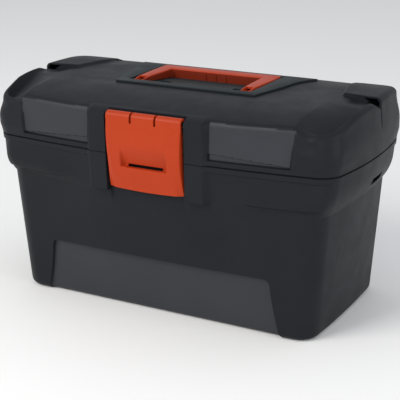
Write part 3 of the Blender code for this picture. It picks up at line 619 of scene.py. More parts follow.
# ---- Body ---------------------------------------------------------------------------------------
CORNER_STEPS = 14
STEP_NEAR = (-0.7, -0.35, -0.12, 0.12, 0.35, 0.7)
BODY_NEAR = [(0.0,), STEP_NEAR, (-1.6, -0.8, 0.0, 0.9), (-1.0, 0.0, 0.7, 1.6),
             (-2.2, -1.1, -0.6, -0.2, 0.2, 0.6, 1.1, 2.2), (-3.0,)]
REAR_NEAR = [(0.0,), (-3.0,)]


def panel_half(z):
    """Half width of the recessed front panel: wider at the base, rounded at its upper corners."""
    half = mix(PANEL_HALF_TOP, PANEL_HALF_BASE, max(1.0 - z / PANEL_TOP_Z, 0.0) ** 1.5)
    round_off = min(max((z - PANEL_TOP_Z + 7.0) / 7.0, 0.0), 1.0)
    return half - 5.0 * (1.0 - math.sqrt(1.0 - round_off * round_off))


def front_anchors(z, outline):
    """Where the body's front features stand at a height."""
    return [0.0, CHANNEL_HALF, CHEEK_HALF, CHEEK_FOOT_HALF, panel_half(z), outline[0] - outline[2]]


BODY_RAIL = Rail(front_anchors(0.0, BASE_OUTLINE), BODY_NEAR, 5.0)
BODY_REAR_RAIL = Rail([0.0, BASE_OUTLINE[0] - BASE_OUTLINE[2]], REAR_NEAR, 9.0)
BODY_END_RAIL = Rail([-68.0, 68.0], [(3.0,), (-3.0,)], 8.0)


def swell(z, side, station):
    """How far the body has grown from its taper to the seam: sharp near the corners, soft in mid front."""
    crease = CREASE_Z
    reach = 1.0
    quick = SHOULDER_FRONT
    if side in ("front", "rear"):
        reach = ease(60.0, 118.0, abs(station))
        crease += CREASE_RISE * ease(110.0, 178.0, abs(station))
    elif side == "end":
        quick = SHOULDER_END
    else:
        turn = abs(math.sin(station)) if side == "front corner" else 0.3
        crease += CREASE_RISE * ease(0.6, 1.0, turn)
        quick = mix(SHOULDER_END, SHOULDER_FRONT, turn)
    start = min(max((z - crease) / quick, 0.0), 1.0)
    rest = min(max((z - crease) / (SEAM_Z - crease), 0.0), 1.0)
    sharp = 0.6 * (1.0 - (1.0 - start) ** 2.2) + 0.4 * rest
    soft = ease(TAPER_Z - 42.0, SEAM_Z, z)
    return mix(soft, sharp, reach)


def shoulder_lip(z, side, station):
    """How far the shoulder's lower edge stands proud beside the front corners."""
    along = ease(84.0, 132.0, abs(station)) if side == "front" else ease(0.2, 0.9, abs(math.sin(station)))
    rise = ease(TAPER_Z + 3.0, TAPER_Z + 5.6, z) * (1.0 - ease(TAPER_Z + 6.0, RIM_STRIP_Z, z))
    return SHOULDER_LIP * along * rise


def body_points(z, distance=0.0, inner=False):
    """One ring of the body's skin, as (point, side, station)."""
    taper = mix(BASE_OUTLINE, TAPER_OUTLINE, z / TAPER_Z)
    strip = 1.2 * (1.0 - ease(RIM_STRIP_Z - 0.6, RIM_STRIP_Z + 0.5, z))
    front_x = mirrored(BODY_RAIL.at(front_anchors(z, taper)))
    rear_x = mirrored(BODY_REAR_RAIL.at([0.0, taper[0] - taper[2]]))
    end_y = BODY_END_RAIL.at([taper[2] - taper[1], taper[1] - taper[2]])
    low = ring(inset(taper, distance), front_x, end_y, rear_x, CORNER_STEPS)
    full_outline = inset(SEAM_OUTLINE, distance + strip)
    high = ring(full_outline, front_x, end_y, rear_x, CORNER_STEPS)
    points = []
    for (x, y, side, station), (high_x, high_y, _, _) in zip(low, high):
        grown = swell(z, side, station)
        x, y = mix(x, high_x, grown), mix(y, high_y, grown)
        if not inner and side in ("front", "front corner"):
            y -= shoulder_lip(z, side, station)
        if side == "front":
            y = body_front(abs(x), y, z, distance, inner)
        points.append(((x, y, z), side, station))
    return points


def body_row(z, distance=0.0, inner=False):
    """One ring of the body's skin."""
    return [point for point, _, _ in body_points(z, distance, inner)]


def body_front(x, y, z, distance, inner):
    """The body's front skin at a point: cheeks, latch channel and lower panel on top of the plain wall."""
    wall = distance if inner else 0.0
    if not inner:
        cheek = ease(CHEEK_FOOT_HALF + 0.5, CHEEK_HALF - 0.5, x)
        y = mix(y, CHEEK_Y, cheek * ease(CHEEK_BASE_Z - 0.9, CHEEK_BASE_Z + 0.7, z))
    channel = 1.0 - ease(CHANNEL_HALF - 0.5, CHANNEL_HALF + 0.5, x - 2.0 * wall)
    y = mix(y, max(y, BODY_CHANNEL_Y + wall), channel)
    edge = panel_half(z)
    panel = (1.0 - ease(edge - 0.8, edge + 0.8, x)) * (1.0 - ease(PANEL_TOP_Z - 0.8, PANEL_TOP_Z + 0.6, z))
    return mix(y, PANEL_Y - PANEL_LEAN * z + distance, panel)


def on_body_panel(point):
    """Whether a point of the body lies on the lower front panel."""
    inside = abs(point.x) < panel_half(point.z) - 0.2 and 1.5 < point.z < PANEL_TOP_Z - 0.3
    return inside and point.y < PANEL_Y + 1.8


def rim_lip(side, station):
    """Height of the lip inside the rim; it stops beside the latch block."""
    share = ease(CHEEK_FOOT_HALF + 4.0, CHEEK_FOOT_HALF + 9.0, abs(station)) if side == "front" else 1.0
    return shell().lip_height / MM * share


def lip_row(height_share, distance):
    """One ring of the lip that stands inside the rim."""
    return [(x, y, z + rim_lip(side, station) * height_share)
            for (x, y, z), side, station in body_points(RIM_Z, distance, inner=True)]


def knuckle_mesh(name, span, wall_y, arm_low, arm_high):
    """One hinge knuckle on its arm, bored for the pin."""
    barrel = rod_mesh(name, KNUCKLE_RADIUS, span, HINGE.y, HINGE.z)
    arm = box_mesh(name + "_arm", (span[0] + 0.4, wall_y, HINGE.z + arm_low),
                   (span[1] - 0.4, HINGE.y + (2.0 if arm_low > 0.0 else 0.0), HINGE.z + arm_high))
    bore = rod_mesh(name + "_bore", PIN_BORE_RADIUS, (span[0] - 1.0, span[1] + 1.0), HINGE.y, HINGE.z)
    return soften(carve(barrel, cuts=[bore], joins=[arm]), 0.4, angle=50.0)


def hinge_spans():
    """The body's and the lid's knuckle spans on the right-hand side."""
    low, high = HINGE_PIN_LOW.x, HINGE_PIN_HIGH.x
    between = KNUCKLE_LENGTH + KNUCKLE_GAP
    return [(low, low + KNUCKLE_LENGTH), (high - KNUCKLE_LENGTH, high)], (low + between, high - between)


def seam_wall_y(x):
    """The rear wall's distance behind the middle at the seam."""
    return SEAM_OUTLINE[1] + SEAM_OUTLINE[4] * (1.0 - (x / SEAM_OUTLINE[0]) ** 2)


def flip_span(span, sign):
    """A span on the right, or its mirror image."""
    return span if sign > 0 else (-span[1], -span[0])


class TOOLBOX_OT_body(bpy.types.Operator):
    """Build the body shell with its cheeks, panel, shoulder, rim, shelves and hinge knuckles"""
    bl_idname = "toolbox.body"
    bl_label = "Body"

    def execute(self, context):
        foot = FOOT_RADIUS
        heights = [foot * (1.0 - math.cos(step * math.pi / 12)) for step in range(6)]
        rows = [body_row(z, foot - math.sqrt(foot ** 2 - (foot - z) ** 2)) for z in heights]
        levels = steps(foot, PANEL_TOP_Z - 7.0, 8.0)
        levels += steps(PANEL_TOP_Z - 7.0, PANEL_TOP_Z - 1.0, 1.2)
        levels += steps(PANEL_TOP_Z - 1.0, PANEL_TOP_Z + 1.0, 0.3)
        levels += steps(PANEL_TOP_Z + 1.0, TAPER_Z - 7.0, 5.0)
        levels += steps(TAPER_Z - 7.0, CHEEK_BASE_Z - 1.0, 0.8)
        levels += steps(CHEEK_BASE_Z - 1.0, CHEEK_BASE_Z + 1.0, 0.3)
        levels += steps(CHEEK_BASE_Z + 1.0, TAPER_Z + 9.0, 0.9)
        levels += steps(TAPER_Z + 9.0, RIM_STRIP_Z - 1.0, 1.8)
        levels += steps(RIM_STRIP_Z - 1.0, RIM_STRIP_Z + 1.0, 0.3)
        levels += steps(RIM_STRIP_Z + 1.0, RIM_Z - 1.2, 1.5)
        rows += [body_row(z) for z in levels]
        # the rim steps in under the lid, so a dark groove runs round the seam
        rows += [body_row(RIM_Z - 1.1), body_row(RIM_Z - 0.8, 0.3), body_row(RIM_Z - 0.75, 1.7)]
        rows += [body_row(RIM_Z - 0.3, 1.75), body_row(RIM_Z, 2.1)]
        rows += [lip_row(0.0, 3.1), lip_row(0.85, 3.15), lip_row(1.0, 3.4), lip_row(1.0, 4.0),
                 lip_row(0.85, 4.2), lip_row(0.0, 4.2)]
        inner_levels = [RIM_STRIP_Z - 1.0, RIM_STRIP_Z - 6.0, 160.0, 154.0, 149.0, 145.0, 141.0, 137.0, 132.0,
                        110.0, 85.0, PANEL_TOP_Z + 1.2, PANEL_TOP_Z, PANEL_TOP_Z - 1.2, 45.0, 25.0]
        rows += [body_row(z, BODY_WALL, inner=True) for z in inner_levels]
        for step in range(5):
            angle = step * math.pi / 8
            rows.append(body_row(FLOOR + foot * (1.0 - math.sin(angle)),
                                 BODY_WALL + foot * (1.0 - math.cos(angle)), inner=True))
        mesh = loft_mesh("body_shell_skin", rows, panel_test=on_body_panel)
        mesh.materials.append(finish("textured polypropylene"))
        mesh.materials.append(finish("fine polypropylene"))
        slots = []
        for sign in (-1, 1):
            low_x, high_x = flip_span((END_SLOT_LOW[0], END_SLOT_HIGH[0]), sign)
            slots.append(box_mesh("end_slot", (low_x, *END_SLOT_LOW[1:]), (high_x, *END_SLOT_HIGH[1:])))
        parts = [carve(mesh, cuts=slots)]
        body_spans, _ = hinge_spans()
        for sign in (-1, 1):
            for index, span in enumerate(body_spans):
                wall_y = seam_wall_y(sum(span) / 2) - 2.2
                parts.append(knuckle_mesh(f"knuckle_{index}", flip_span(span, sign), wall_y, -11.0, -1.0))
            low_x, high_x = flip_span(SHELF_SPAN, sign)
            shelf_top = TRAY_LOW.z - 0.3
            shelf = box_mesh("shelf", (low_x, -SHELF_HALF_Y, shelf_top - SHELF_THICK),
                             (high_x, SHELF_HALF_Y, shelf_top))
            parts.append(soften(shelf, shell().edge_radius / MM))
        add_piece("body_moulding", joined("body_moulding", parts),
                  [finish("textured polypropylene"), finish("fine polypropylene")],
                  "body", ["body_shell"])
        return {"FINISHED"}


# ---- Lid ----------------------------------------------------------------------------------------
LID_NEAR = [(0.0,), STEP_NEAR, (-1.6, -0.8, 0.0, 0.9), (-1.0, 0.0, 0.7, 1.6),
            (-3.5, -2.4, -1.6, -0.8, 0.0, 0.8, 1.6, 2.4, 3.5), (-2.0,)]
LID_END_NEAR = [(3.0,), (-0.6, -0.3, 0.0, 0.3, 0.6), (-3.0,)]


def lid_anchors(outline, z=SEAM_Z):
    """Where the lid's front features stand; the bumper's edge leans outwards going up."""
    return [0.0, CHANNEL_HALF, CHEEK_HALF, CHEEK_FOOT_HALF, bumper_edge(z), outline[0] - outline[2]]


def bumper_edge(z):
    """Where the front panel ends and the corner bumper starts."""
    return BUMPER_X + 0.12 * (z - SEAM_Z - 20.0)


LID_RAIL = Rail(lid_anchors(SEAM_OUTLINE), LID_NEAR, 5.0)
LID_END_RAIL = Rail([-68.0, EAR_Y, 68.0], LID_END_NEAR, 4.0)
LID_REAR_RAIL = Rail([0.0, BUMPER_X, 180.0], [(0.0,), (-2.4, -1.2, 0.0, 1.2, 2.4), (-2.0,)], 7.0)


def lid_ring(outline, z=SEAM_Z, scale=1.0, centre_y=0.0):
    """The lid's stations on an outline."""
    front = [x * scale for x in mirrored(LID_RAIL.at(lid_anchors(SEAM_OUTLINE, z)))]
    rear = [x * scale for x in mirrored(LID_REAR_RAIL.at([0.0, BUMPER_X, 180.0]))]
    ends = [y * scale for y in LID_END_RAIL.at([-68.0, EAR_Y, 68.0])]
    limit = outline[0] - outline[2] - 0.5
    front = [max(min(x, limit), -limit) for x in front] if scale == 1.0 else front
    return ring(outline, front, ends, rear, CORNER_STEPS, centre_y)


def ear_share(x, y, side, station):
    """1 on the raised pads at the rear half of the ends, 0 elsewhere."""
    if side in ("front", "front corner"):
        return 0.0
    along = ease(EAR_Y - 0.35, EAR_Y + 0.35, station) if side == "end" else 1.0
    edge = EAR_EDGE_X - EAR_SLANT * min(max((y - 17.0) / 46.0, 0.0), 1.0)
    return along * ease(edge - 1.6, edge + 1.6, abs(x))


def bumper_share(z, side, station):
    """1 on the bumpers at the corners and ends, 0 on the panels between them."""
    if side in ("front", "rear"):
        edge = bumper_edge(z)
        return ease(edge - 1.8, edge + 1.8, abs(station))
    return 1.0


def crown(x, y, side, station, distance=20.0, ears=True):
    """Height of the lid's top skin, at a distance inside its edge."""
    away = max(abs(y - CROWN_Y) - CROWN_FLAT, 0.0)
    height = CROWN_Z - CROWN_FALL * away * away
    # each end has a facet that gets steeper towards the front corner
    fall = END_FACET_FALL + END_FACET_STEEPER * min(max(-y - 15.0, 0.0), 70.0)
    height -= fall * min(max(abs(x) - END_FACET_X, 0.0), END_FACET_LENGTH)
    # the bumper's rim stands over the valley just inside it, and dips in front of the ear
    ahead = max(-y - BUMPER_LEVEL_Y, 0.0)
    rim = CROWN_Z + BUMPER_RIM - 2.2 * min(ahead / BUMPER_CURVE, 1.0) ** 2
    rim -= BUMPER_SLOPE * max(ahead - BUMPER_CURVE, 0.0)
    rim = max(rim, height) - 6.0 * ease(-8.0, EAR_Y, y)
    share = bumper_share(SEAM_Z + 38.0, side, station) if side in ("front", "front corner", "end") else 0.0
    height = mix(height, rim, share * (1.0 - ease(4.5, 9.5, distance)))
    height -= 2.2 * ease(8.0, 30.0, 210.0 - abs(x)) * ease(172.0, 180.0, abs(x)) * ease(-14.0, 10.0, y)
    if not ears:
        # the inner skin passes under the ears' pockets
        along = ease(EAR_Y - 14.0, EAR_Y - 8.0, y) * ease(-50.0, -43.0, -y)
        height -= 8.0 * ease(184.0, 193.0, abs(x)) * along
    else:
        high = EAR_Z - 0.0028 * away * away
        height = mix(height, high, ear_share(x, y, side, station))
    return height


def lid_front(x, y, z, inner):
    """The lid's front skin at a point: flange, groove, panels, latch block and channel."""
    if inner:
        channel = 1.0 - ease(CHANNEL_HALF, CHEEK_HALF, x)
        return mix(y, max(y, LID_CHANNEL_Y + LID_WALL), channel)
    panel = ease(CHEEK_FOOT_HALF - 0.6, CHEEK_FOOT_HALF + 0.8, x)
    edge = bumper_edge(z)
    panel *= 1.0 - ease(edge - 1.8, edge + 1.8, x)
    flange_top = SEAM_Z + FLANGE
    y += PANEL_SET_BACK * panel * ease(flange_top - 0.5, flange_top + 0.5, z)
    groove_top = flange_top + 1.0 + 5.2 * max(1.0 - (x - CHEEK_FOOT_HALF) / 84.0, 0.0)
    groove = ease(flange_top - 0.4, flange_top + 0.5, z) * (1.0 - ease(groove_top - 0.5, groove_top + 0.7, z))
    y += GROOVE_DEPTH * panel * groove
    cheek = ease(CHEEK_FOOT_HALF + 0.5, CHEEK_HALF - 0.5, x)
    y = mix(y, CHEEK_Y, cheek)
    channel = 1.0 - ease(CHANNEL_HALF - 0.5, CHANNEL_HALF + 0.5, x)
    return mix(y, max(y, LID_CHANNEL_Y), channel)


def lid_wall_row(level, share, distance=0.0, inner=False):
    """One ring of the lid's wall: at a level above the seam, or a share of the way on up to the roll."""
    tops = lid_ring(CROWN_OUTLINE, SEAM_Z + 36.0)
    row = []
    plain = inset(mix(SEAM_OUTLINE, CROWN_OUTLINE, mix(level / 40.0, 1.0, share)), distance)
    full = mix(SEAM_OUTLINE, BUMPER_OUTLINE, ease(0.0, 12.0, level))
    full = inset(mix(full, CROWN_OUTLINE, ease(0.25, 1.0, share) if share < 1.0 else 1.0), distance)
    place_z = SEAM_Z + mix(level, 36.0, share)
    plain_ring, full_ring = lid_ring(plain, place_z), lid_ring(full, place_z)
    for (x, y, side, station), wide, top in zip(plain_ring, full_ring, tops):
        top_z = crown(top[0], top[1], side, station, 0.0, not inner) - ROLL - (LID_WALL if inner else 0.0)
        if side == "front" and not inner:
            top_z = mix(top_z, BLOCK_TOP_Z - 1.0, ease(CHEEK_FOOT_HALF + 0.5, CHEEK_HALF - 0.5, abs(x)))
        z = mix(SEAM_Z + level, top_z, share)
        bumper = bumper_share(z, side, station)
        x, y = mix(x, wide[0], bumper), mix(y, wide[1], bumper)
        if side == "front":
            y = lid_front(abs(x), y, z, inner)
        row.append((x, y, z))
    return row


def lid_roll_row(distance, drop, inner=False):
    """One ring of the rounding into the top, or of the top beside it."""
    row = []
    for x, y, side, station in lid_ring(inset(CROWN_OUTLINE, distance), SEAM_Z + 40.0):
        z = crown(x, y, side, station, distance, not inner) - drop
        if side == "front":
            if inner:
                y = lid_front(abs(x), y, z, inner)
            else:
                cheek = ease(CHEEK_FOOT_HALF + 0.5, CHEEK_HALF - 0.5, abs(x))
                panel = 1.0 - ease(bumper_edge(z) - 1.8, bumper_edge(z) + 1.8, abs(x))
                part = max(1.0 - distance / 12.0, 0.0)
                y += PANEL_SET_BACK * part * panel * (1.0 - cheek)
                y = mix(y, mix(y, CHEEK_Y + 0.6 * distance, part), cheek)
                z = mix(z, mix(z, BLOCK_TOP_Z - 1.0 + 0.55 * distance, part), cheek)
                channel = 1.0 - ease(CHANNEL_HALF - 0.5, CHANNEL_HALF + 0.5, abs(x))
                y = mix(y, max(y, LID_CHANNEL_Y), channel)
        row.append((x, y, z))
    return row


def lid_top_row(share, drop=0.0, inner=False):
    """One ring of the top between the rounding and the window."""
    outer = lid_ring(inset(CROWN_OUTLINE, 12.0 + (LID_WALL if inner else 0.0)), SEAM_Z + 40.0)
    window = lid_ring(WINDOW, SEAM_Z + 40.0, WINDOW_SCALE, WINDOW_Y)
    row = []
    for (x, y, side, station), (window_x, window_y, _, _) in zip(outer, window):
        x, y = mix(x, window_x, share), mix(y, window_y, share)
        row.append((x, y, crown(x, y, side, station, 12.0 + 60.0 * share, not inner) - drop))
    return row


def on_lid_panel(point):
    """Whether a point of the lid lies on a front panel."""
    side = CHEEK_FOOT_HALF + 0.6 < abs(point.x) < bumper_edge(point.z) - 0.6
    return side and SEAM_Z + FLANGE + 0.1 < point.z < CROWN_Z - 11.0 and point.y < -88.0


def ear_pocket(sign):
    """Cutter for the hollow that opens at the front of an ear: its floor falls towards the outer wall."""
    front, rear, top = EAR_Y - 6.0, EAR_Y + 24.0, EAR_Z - 1.6
    profile = [(POCKET_INNER_X, top - 0.2), (193.0, 231.0), (200.5, 221.5), (POCKET_OUTER_X, 223.5),
               (POCKET_OUTER_X, EAR_Z - 4.8), (202.5, top)]
    rows = [[(sign * x, y, z) for x, z in profile] for y in (front, rear)]
    return outward(loft_mesh("ear_pocket", rows))


class TOOLBOX_OT_lid(bpy.types.Operator):
    """Build the lid shell with its flange, groove, panels, latch block, bumpers, ears and hinge knuckles"""
    bl_idname = "toolbox.lid"
    bl_label = "Lid"

    def execute(self, context):
        rows = [lid_wall_row(0.8 * (1.0 - math.cos(step * math.pi / 8)), 0.0,
                             0.8 * (1.0 - math.sin(step * math.pi / 8))) for step in range(5)]
        rows += [lid_wall_row(level, 0.0) for level in steps(2.0, 4.6, 1.3) + steps(4.6, 6.2, 0.25)
                 + steps(6.2, 12.4, 0.6)]
        rows += [lid_wall_row(12.4, share) for share in steps(0.0, 1.0, 0.1)]
        for step in range(9):
            angle = step * math.pi / 16
            rows.append(lid_roll_row(ROLL * (1.0 - math.cos(angle)), ROLL * (1.0 - math.sin(angle))))
        rows += [lid_roll_row(distance, 0.0) for distance in (7.0, 8.0, 9.0, 10.0, 11.0)]
        shares = steps(0.0, 0.20, 0.012) + steps(0.20, 0.40, 0.009) + steps(0.40, 1.0, 0.03) + [1.0]
        rows += [lid_top_row(share) for share in shares]
        rows.append(lid_top_row(1.0, LID_WALL, inner=True))
        rows += [lid_top_row(share, LID_WALL, inner=True) for share in (0.7, 0.45, 0.3, 0.15, 0.0)]
        for step in range(5):
            angle = (4 - step) * math.pi / 8
            rows.append(lid_roll_row(LID_WALL + ROLL * (1.0 - math.cos(angle)),
                                     LID_WALL + ROLL * (1.0 - math.sin(angle)), inner=True))
        rows += [lid_wall_row(12.4, share, LID_WALL, inner=True) for share in (0.7, 0.35)]
        rows += [lid_wall_row(level, 0.0, LID_WALL, inner=True) for level in (12.4, 6.0, 0.0)]
        mesh = loft_mesh("lid_shell_skin", rows, closed=True, panel_test=on_lid_panel)
        mesh.materials.append(finish("textured polypropylene"))
        mesh.materials.append(finish("fine polypropylene"))
        mesh = carve(mesh, cuts=[ear_pocket(-1), ear_pocket(1)])
        parts = [mesh]
        _, lid_span = hinge_spans()
        for sign in (-1, 1):
            wall_y = seam_wall_y(sum(lid_span) / 2) - 1.8
            parts.append(knuckle_mesh("lid_knuckle", flip_span(lid_span, sign), wall_y, 3.5, 9.0))
        add_piece("lid_moulding", joined("lid_moulding", parts),
                  [finish("textured polypropylene"), finish("fine polypropylene")],
                  "lid", ["lid_shell"])
        return {"FINISHED"}


# ---- Latch --------------------------------------------------------------------------------------
def latch_front_y(x, z):
    """The latch's front skin: it swells in the middle, with a scoop for the fingertips."""
    z_share = max(1.0 - (z - LATCH_LOW.z) / 42.0, 0.0)
    y = LATCH_PIN.y - 2.8 - LATCH_SWELL * max(1.0 - ((z - LATCH_MIDDLE_Z) / LATCH_REACH_Z) ** 2, 0.0)
    y = mix(y, LATCH_PIN.y - LATCH_ROLL, ease(206.0, LATCH_PIN.z, z))
    side = ease(LATCH_HALF - 3.0 - 7.0 * z_share, LATCH_HALF, abs(x))
    y += 1.2 * side * (0.35 + 1.6 * z_share)
    across = 1.0 - ease(SCOOP_HALF - 3.0, SCOOP_HALF, abs(x))
    depth = ease(191.0, 168.5, z) * ease(166.6, 167.6, z)
    return y + SCOOP_DEPTH * across * depth


def latch_loop(x, shrink=0.0):
    """The latch's closed section at a place along X: up the front, over the pin, and down the back."""
    edge_share = abs(x) / LATCH_HALF
    foot_z = LATCH_LOW.z - 0.6 + 1.6 * edge_share ** 2 + shrink
    radius = LATCH_ROLL - shrink
    heights = [foot_z + (z - LATCH_LOW.z) * (LATCH_PIN.z - foot_z) / (LATCH_PIN.z - LATCH_LOW.z)
               for z in steps(LATCH_LOW.z, 164.0, 1.8) + steps(164.0, 170.0, 0.35)
               + steps(170.0, 192.0, 1.6) + steps(192.0, LATCH_PIN.z - 0.5, 4.0)]
    points = [(latch_front_y(x, z) + shrink, z) for z in heights]
    for step in range(17):
        angle = math.radians(180.0 - 240.0 * step / 16)
        points.append((LATCH_PIN.y + radius * math.cos(angle), LATCH_PIN.z + radius * math.sin(angle)))
    inner = LATCH_EYE + shrink
    for step in range(15):
        angle = math.radians(-60.0 + 262.0 * step / 14)
        points.append((LATCH_PIN.y + inner * math.cos(angle), LATCH_PIN.z + inner * math.sin(angle)))
    skirt = ease(LATCH_HALF - 3.4, LATCH_HALF - 2.4, abs(x))
    for z in reversed(heights[:-2]):
        thin = min(max(latch_front_y(0.0, z), latch_front_y(x, z)) + 3.2, -102.6)
        thin = max(thin, latch_front_y(x, z) + 2.6)
        foot = max(1.0 - (z - foot_z) / 50.0, 0.0)
        back = mix(thin, -102.4 + 3.2 * foot, skirt)
        points.append((back - shrink, max(z, foot_z)))
    # the plate has a slight waist
    return [(x * (1.0 - LATCH_WAIST * ease(LATCH_PIN.z - 4.0, 170.0, z) * ease(LATCH_LOW.z, 172.0, z)), y, z)
            for y, z in points]


class TOOLBOX_OT_latch(bpy.types.Operator):
    """Build the front latch: a flared plate with a finger scoop and three eyes on its pin"""
    bl_idname = "toolbox.latch"
    bl_label = "Latch"

    def execute(self, context):
        half = LATCH_HALF
        inner = steps(-half + 0.8, -half + 4.2, 0.4) + steps(-half + 4.2, -30.0, 1.8)
        inner += steps(-30.0, -25.0, 0.5)
        inner += steps(-25.0, 25.0, 2.5) + steps(25.0, 30.0, 0.5) + steps(30.0, half - 4.2, 1.8)
        inner += steps(half - 4.2, half - 0.8, 0.4) + [half - 0.8]
        rows = [latch_loop(-half, 0.8), latch_loop(-half + 0.11, 0.4), latch_loop(-half + 0.4, 0.11)]
        rows += [latch_loop(x) for x in inner]
        rows += [latch_loop(half - 0.4, 0.11), latch_loop(half - 0.11, 0.4), latch_loop(half, 0.8)]
        mesh = outward(loft_mesh("front_latch_skin", rows))
        ahead, behind = LATCH_PIN.y - 16.5, LATCH_PIN.y + 13.5
        slots = [box_mesh("latch_slot", (x - LATCH_SLOT_HALF, ahead, LATCH_PIN.z - 5.0),
                          (x + LATCH_SLOT_HALF, behind, LATCH_PIN.z + 11.5))
                 for x in (-LATCH_SLOT_X, LATCH_SLOT_X)]
        slots.append(box_mesh("finger_ledge", (-LEDGE_HALF, ahead, 166.9), (LEDGE_HALF, behind, 169.8)))
        add_piece("front_latch_moulding", carve(mesh, cuts=slots), [finish("orange polypropylene")],
                  "latch", ["front_latch"])
        return {"FINISHED"}


# ---- Handle -------------------------------------------------------------------------------------
def well_floor(y):
    """Height of the well's sloping floor."""
    return mix(WELL_FRONT_Z, WELL_REAR_Z, (y - WELL_FRONT_Y) / (WELL_REAR_Y - WELL_FRONT_Y))


def rail_points(half, rear_y, radius, taper):
    """A U-shaped rail round the handle; its arms' ends stand further out by the taper."""
    front = HANDLE_LOW.y
    arm = [(-half, y) for y in steps(front, rear_y - radius, 4.0)][:18]
    while len(arm) < 18:
        arm.append((-half, mix(arm[-1][1], rear_y - radius, 0.5)))
    turn = [(-half + radius * (1.0 - math.cos(a)), rear_y - radius * (1.0 - math.sin(a)))
            for a in (math.pi / 2 * step / 8 for step in range(9))]
    grip = [(x, rear_y) for x in steps(-half + radius, 0.0, (half - radius) / 14)][1:]
    half_rail = [(x - taper * ease(-HANDLE_GRIP_Y, 5.0, -y), y) for x, y in arm + turn + grip]
    return half_rail + [(0.0, rear_y)] + [(-x, y) for x, y in reversed(half_rail)]


def on_finger_side(point):
    """Whether a point of the handle lies on the side that the fingers hold, which takes the painted shade."""
    inside = abs(point.x) < HANDLE_INNER_HALF + 3.1 and point.y < HANDLE_GRIP_Y + 0.3
    return inside and point.z < HANDLE_HIGH.z - 1.3


def handle_section(outer, inner):
    """The hollow, downward-open section between two rail points."""
    y_mid = (outer[1] + inner[1]) / 2
    ahead = min(max((HANDLE_SLOPE_Y - y_mid) / (HANDLE_SLOPE_Y - HANDLE_LOW.y), 0.0), 1.0)
    top = HANDLE_HIGH.z - HANDLE_SLOPE * ahead
    bottom = well_floor(y_mid) + 0.6
    skin = 0.125
    section = [(0.0, bottom)]
    section += [(0.06 * (1.0 - math.cos(a)), top - 1.2 * (1.0 - math.sin(a)))
                for a in (math.pi / 2 * step / 4 for step in range(5))]
    section += [(1.0 - 0.06 * (1.0 - math.cos(a)), top - 1.2 * (1.0 - math.sin(a)))
                for a in (math.pi / 2 * step / 4 for step in range(4, -1, -1))]
    section += [(1.0, bottom), (1.0 - skin, bottom), (1.0 - skin, top - 2.0)]
    section += [(skin, top - 2.0), (skin, bottom)]
    return [(mix(inner[0], outer[0], f), mix(inner[1], outer[1], f), z) for f, z in section]


class TOOLBOX_OT_handle(bpy.types.Operator):
    """Build the carry handle: a hollow bail with pivot bosses and small grip ribs"""
    bl_idname = "toolbox.handle"
    bl_label = "Carry handle"

    def execute(self, context):
        outer = rail_points(HANDLE_HIGH.x, HANDLE_HIGH.y, 3.5, OUTER_TAPER)
        inner = rail_points(HANDLE_INNER_HALF, HANDLE_GRIP_Y, 2.0, INNER_TAPER)
        rows = [handle_section(a, b) for a, b in zip(outer, inner)]
        mesh = outward(loft_mesh("carry_handle_skin", rows, panel_test=on_finger_side))
        mesh.materials.append(finish("orange polypropylene"))
        # the finger side takes the darkened orange: painted shade for the shadow in the well
        mesh.materials.append(finish("orange polypropylene with painted shade"))
        cuts = []
        floors = []
        for sign in (-1, 1):
            low_x, high_x = flip_span(ARM_MOUTH_SPAN, sign)
            cuts.append(box_mesh("arm_mouth", (low_x, HANDLE_LOW.y - 1.0, 231.9), (high_x, 2.5, 240.0)))
            low_x, high_x = flip_span(ARM_FLOOR_SPAN, sign)
            floors.append(box_mesh("arm_floor", (low_x, HANDLE_LOW.y + 0.2, 231.2), (high_x, 5.5, 231.7)))
        parts = [carve(mesh, cuts=cuts)] + floors
        for sign in (-1, 1):
            for span in BOSS_SPANS:
                disc = rod_mesh("pivot_boss", BOSS_RADIUS, flip_span(span, sign), HANDLE_PIN.y, HANDLE_PIN.z)
                parts.append(soften(disc, 0.3, angle=50.0))
        parts.append(rib_row("grip_ribs", 3, (-12.5, HANDLE_GRIP_Y - 0.2, 229.0), (12.5, 0.0, 0.0),
                             (1.2, 0.9, 7.0), finish("orange polypropylene")))
        add_piece("carry_handle_moulding", joined("carry_handle_moulding", parts),
                  [finish("orange polypropylene"), finish("orange polypropylene with painted shade")],
                  "handle", ["carry_handle"])
        return {"FINISHED"}


# ---- Handle deck --------------------------------------------------------------------------------
def deck_section(y):
    """One upright section of the plate, which follows the lid's crown and widens towards the rear."""
    half = 85.0 + 13.0 * ease(DECK_LOW.y, 46.0, y) ** 0.7 + 12.0 * ease(34.0, 94.0, y) * 1.35
    half = min(half, DECK_HIGH.x)
    low = crown(0.0, y, "rear", 0.0, ears=False) + 0.15
    high = low + 1.95
    return [(-half, y, low), (-half, y, high), (half, y, high), (half, y, low)]


def wedge_cutter(name, half, front_y, rear_y, floor, top=245.0):
    """A box whose floor follows a slope."""
    mesh = box_mesh(name, (-half, front_y, 200.0), (half, rear_y, top))
    for vertex in mesh.vertices:
        if vertex.co.z < 0.21:
            vertex.co.z = floor(vertex.co.y / MM) * MM
    return mesh


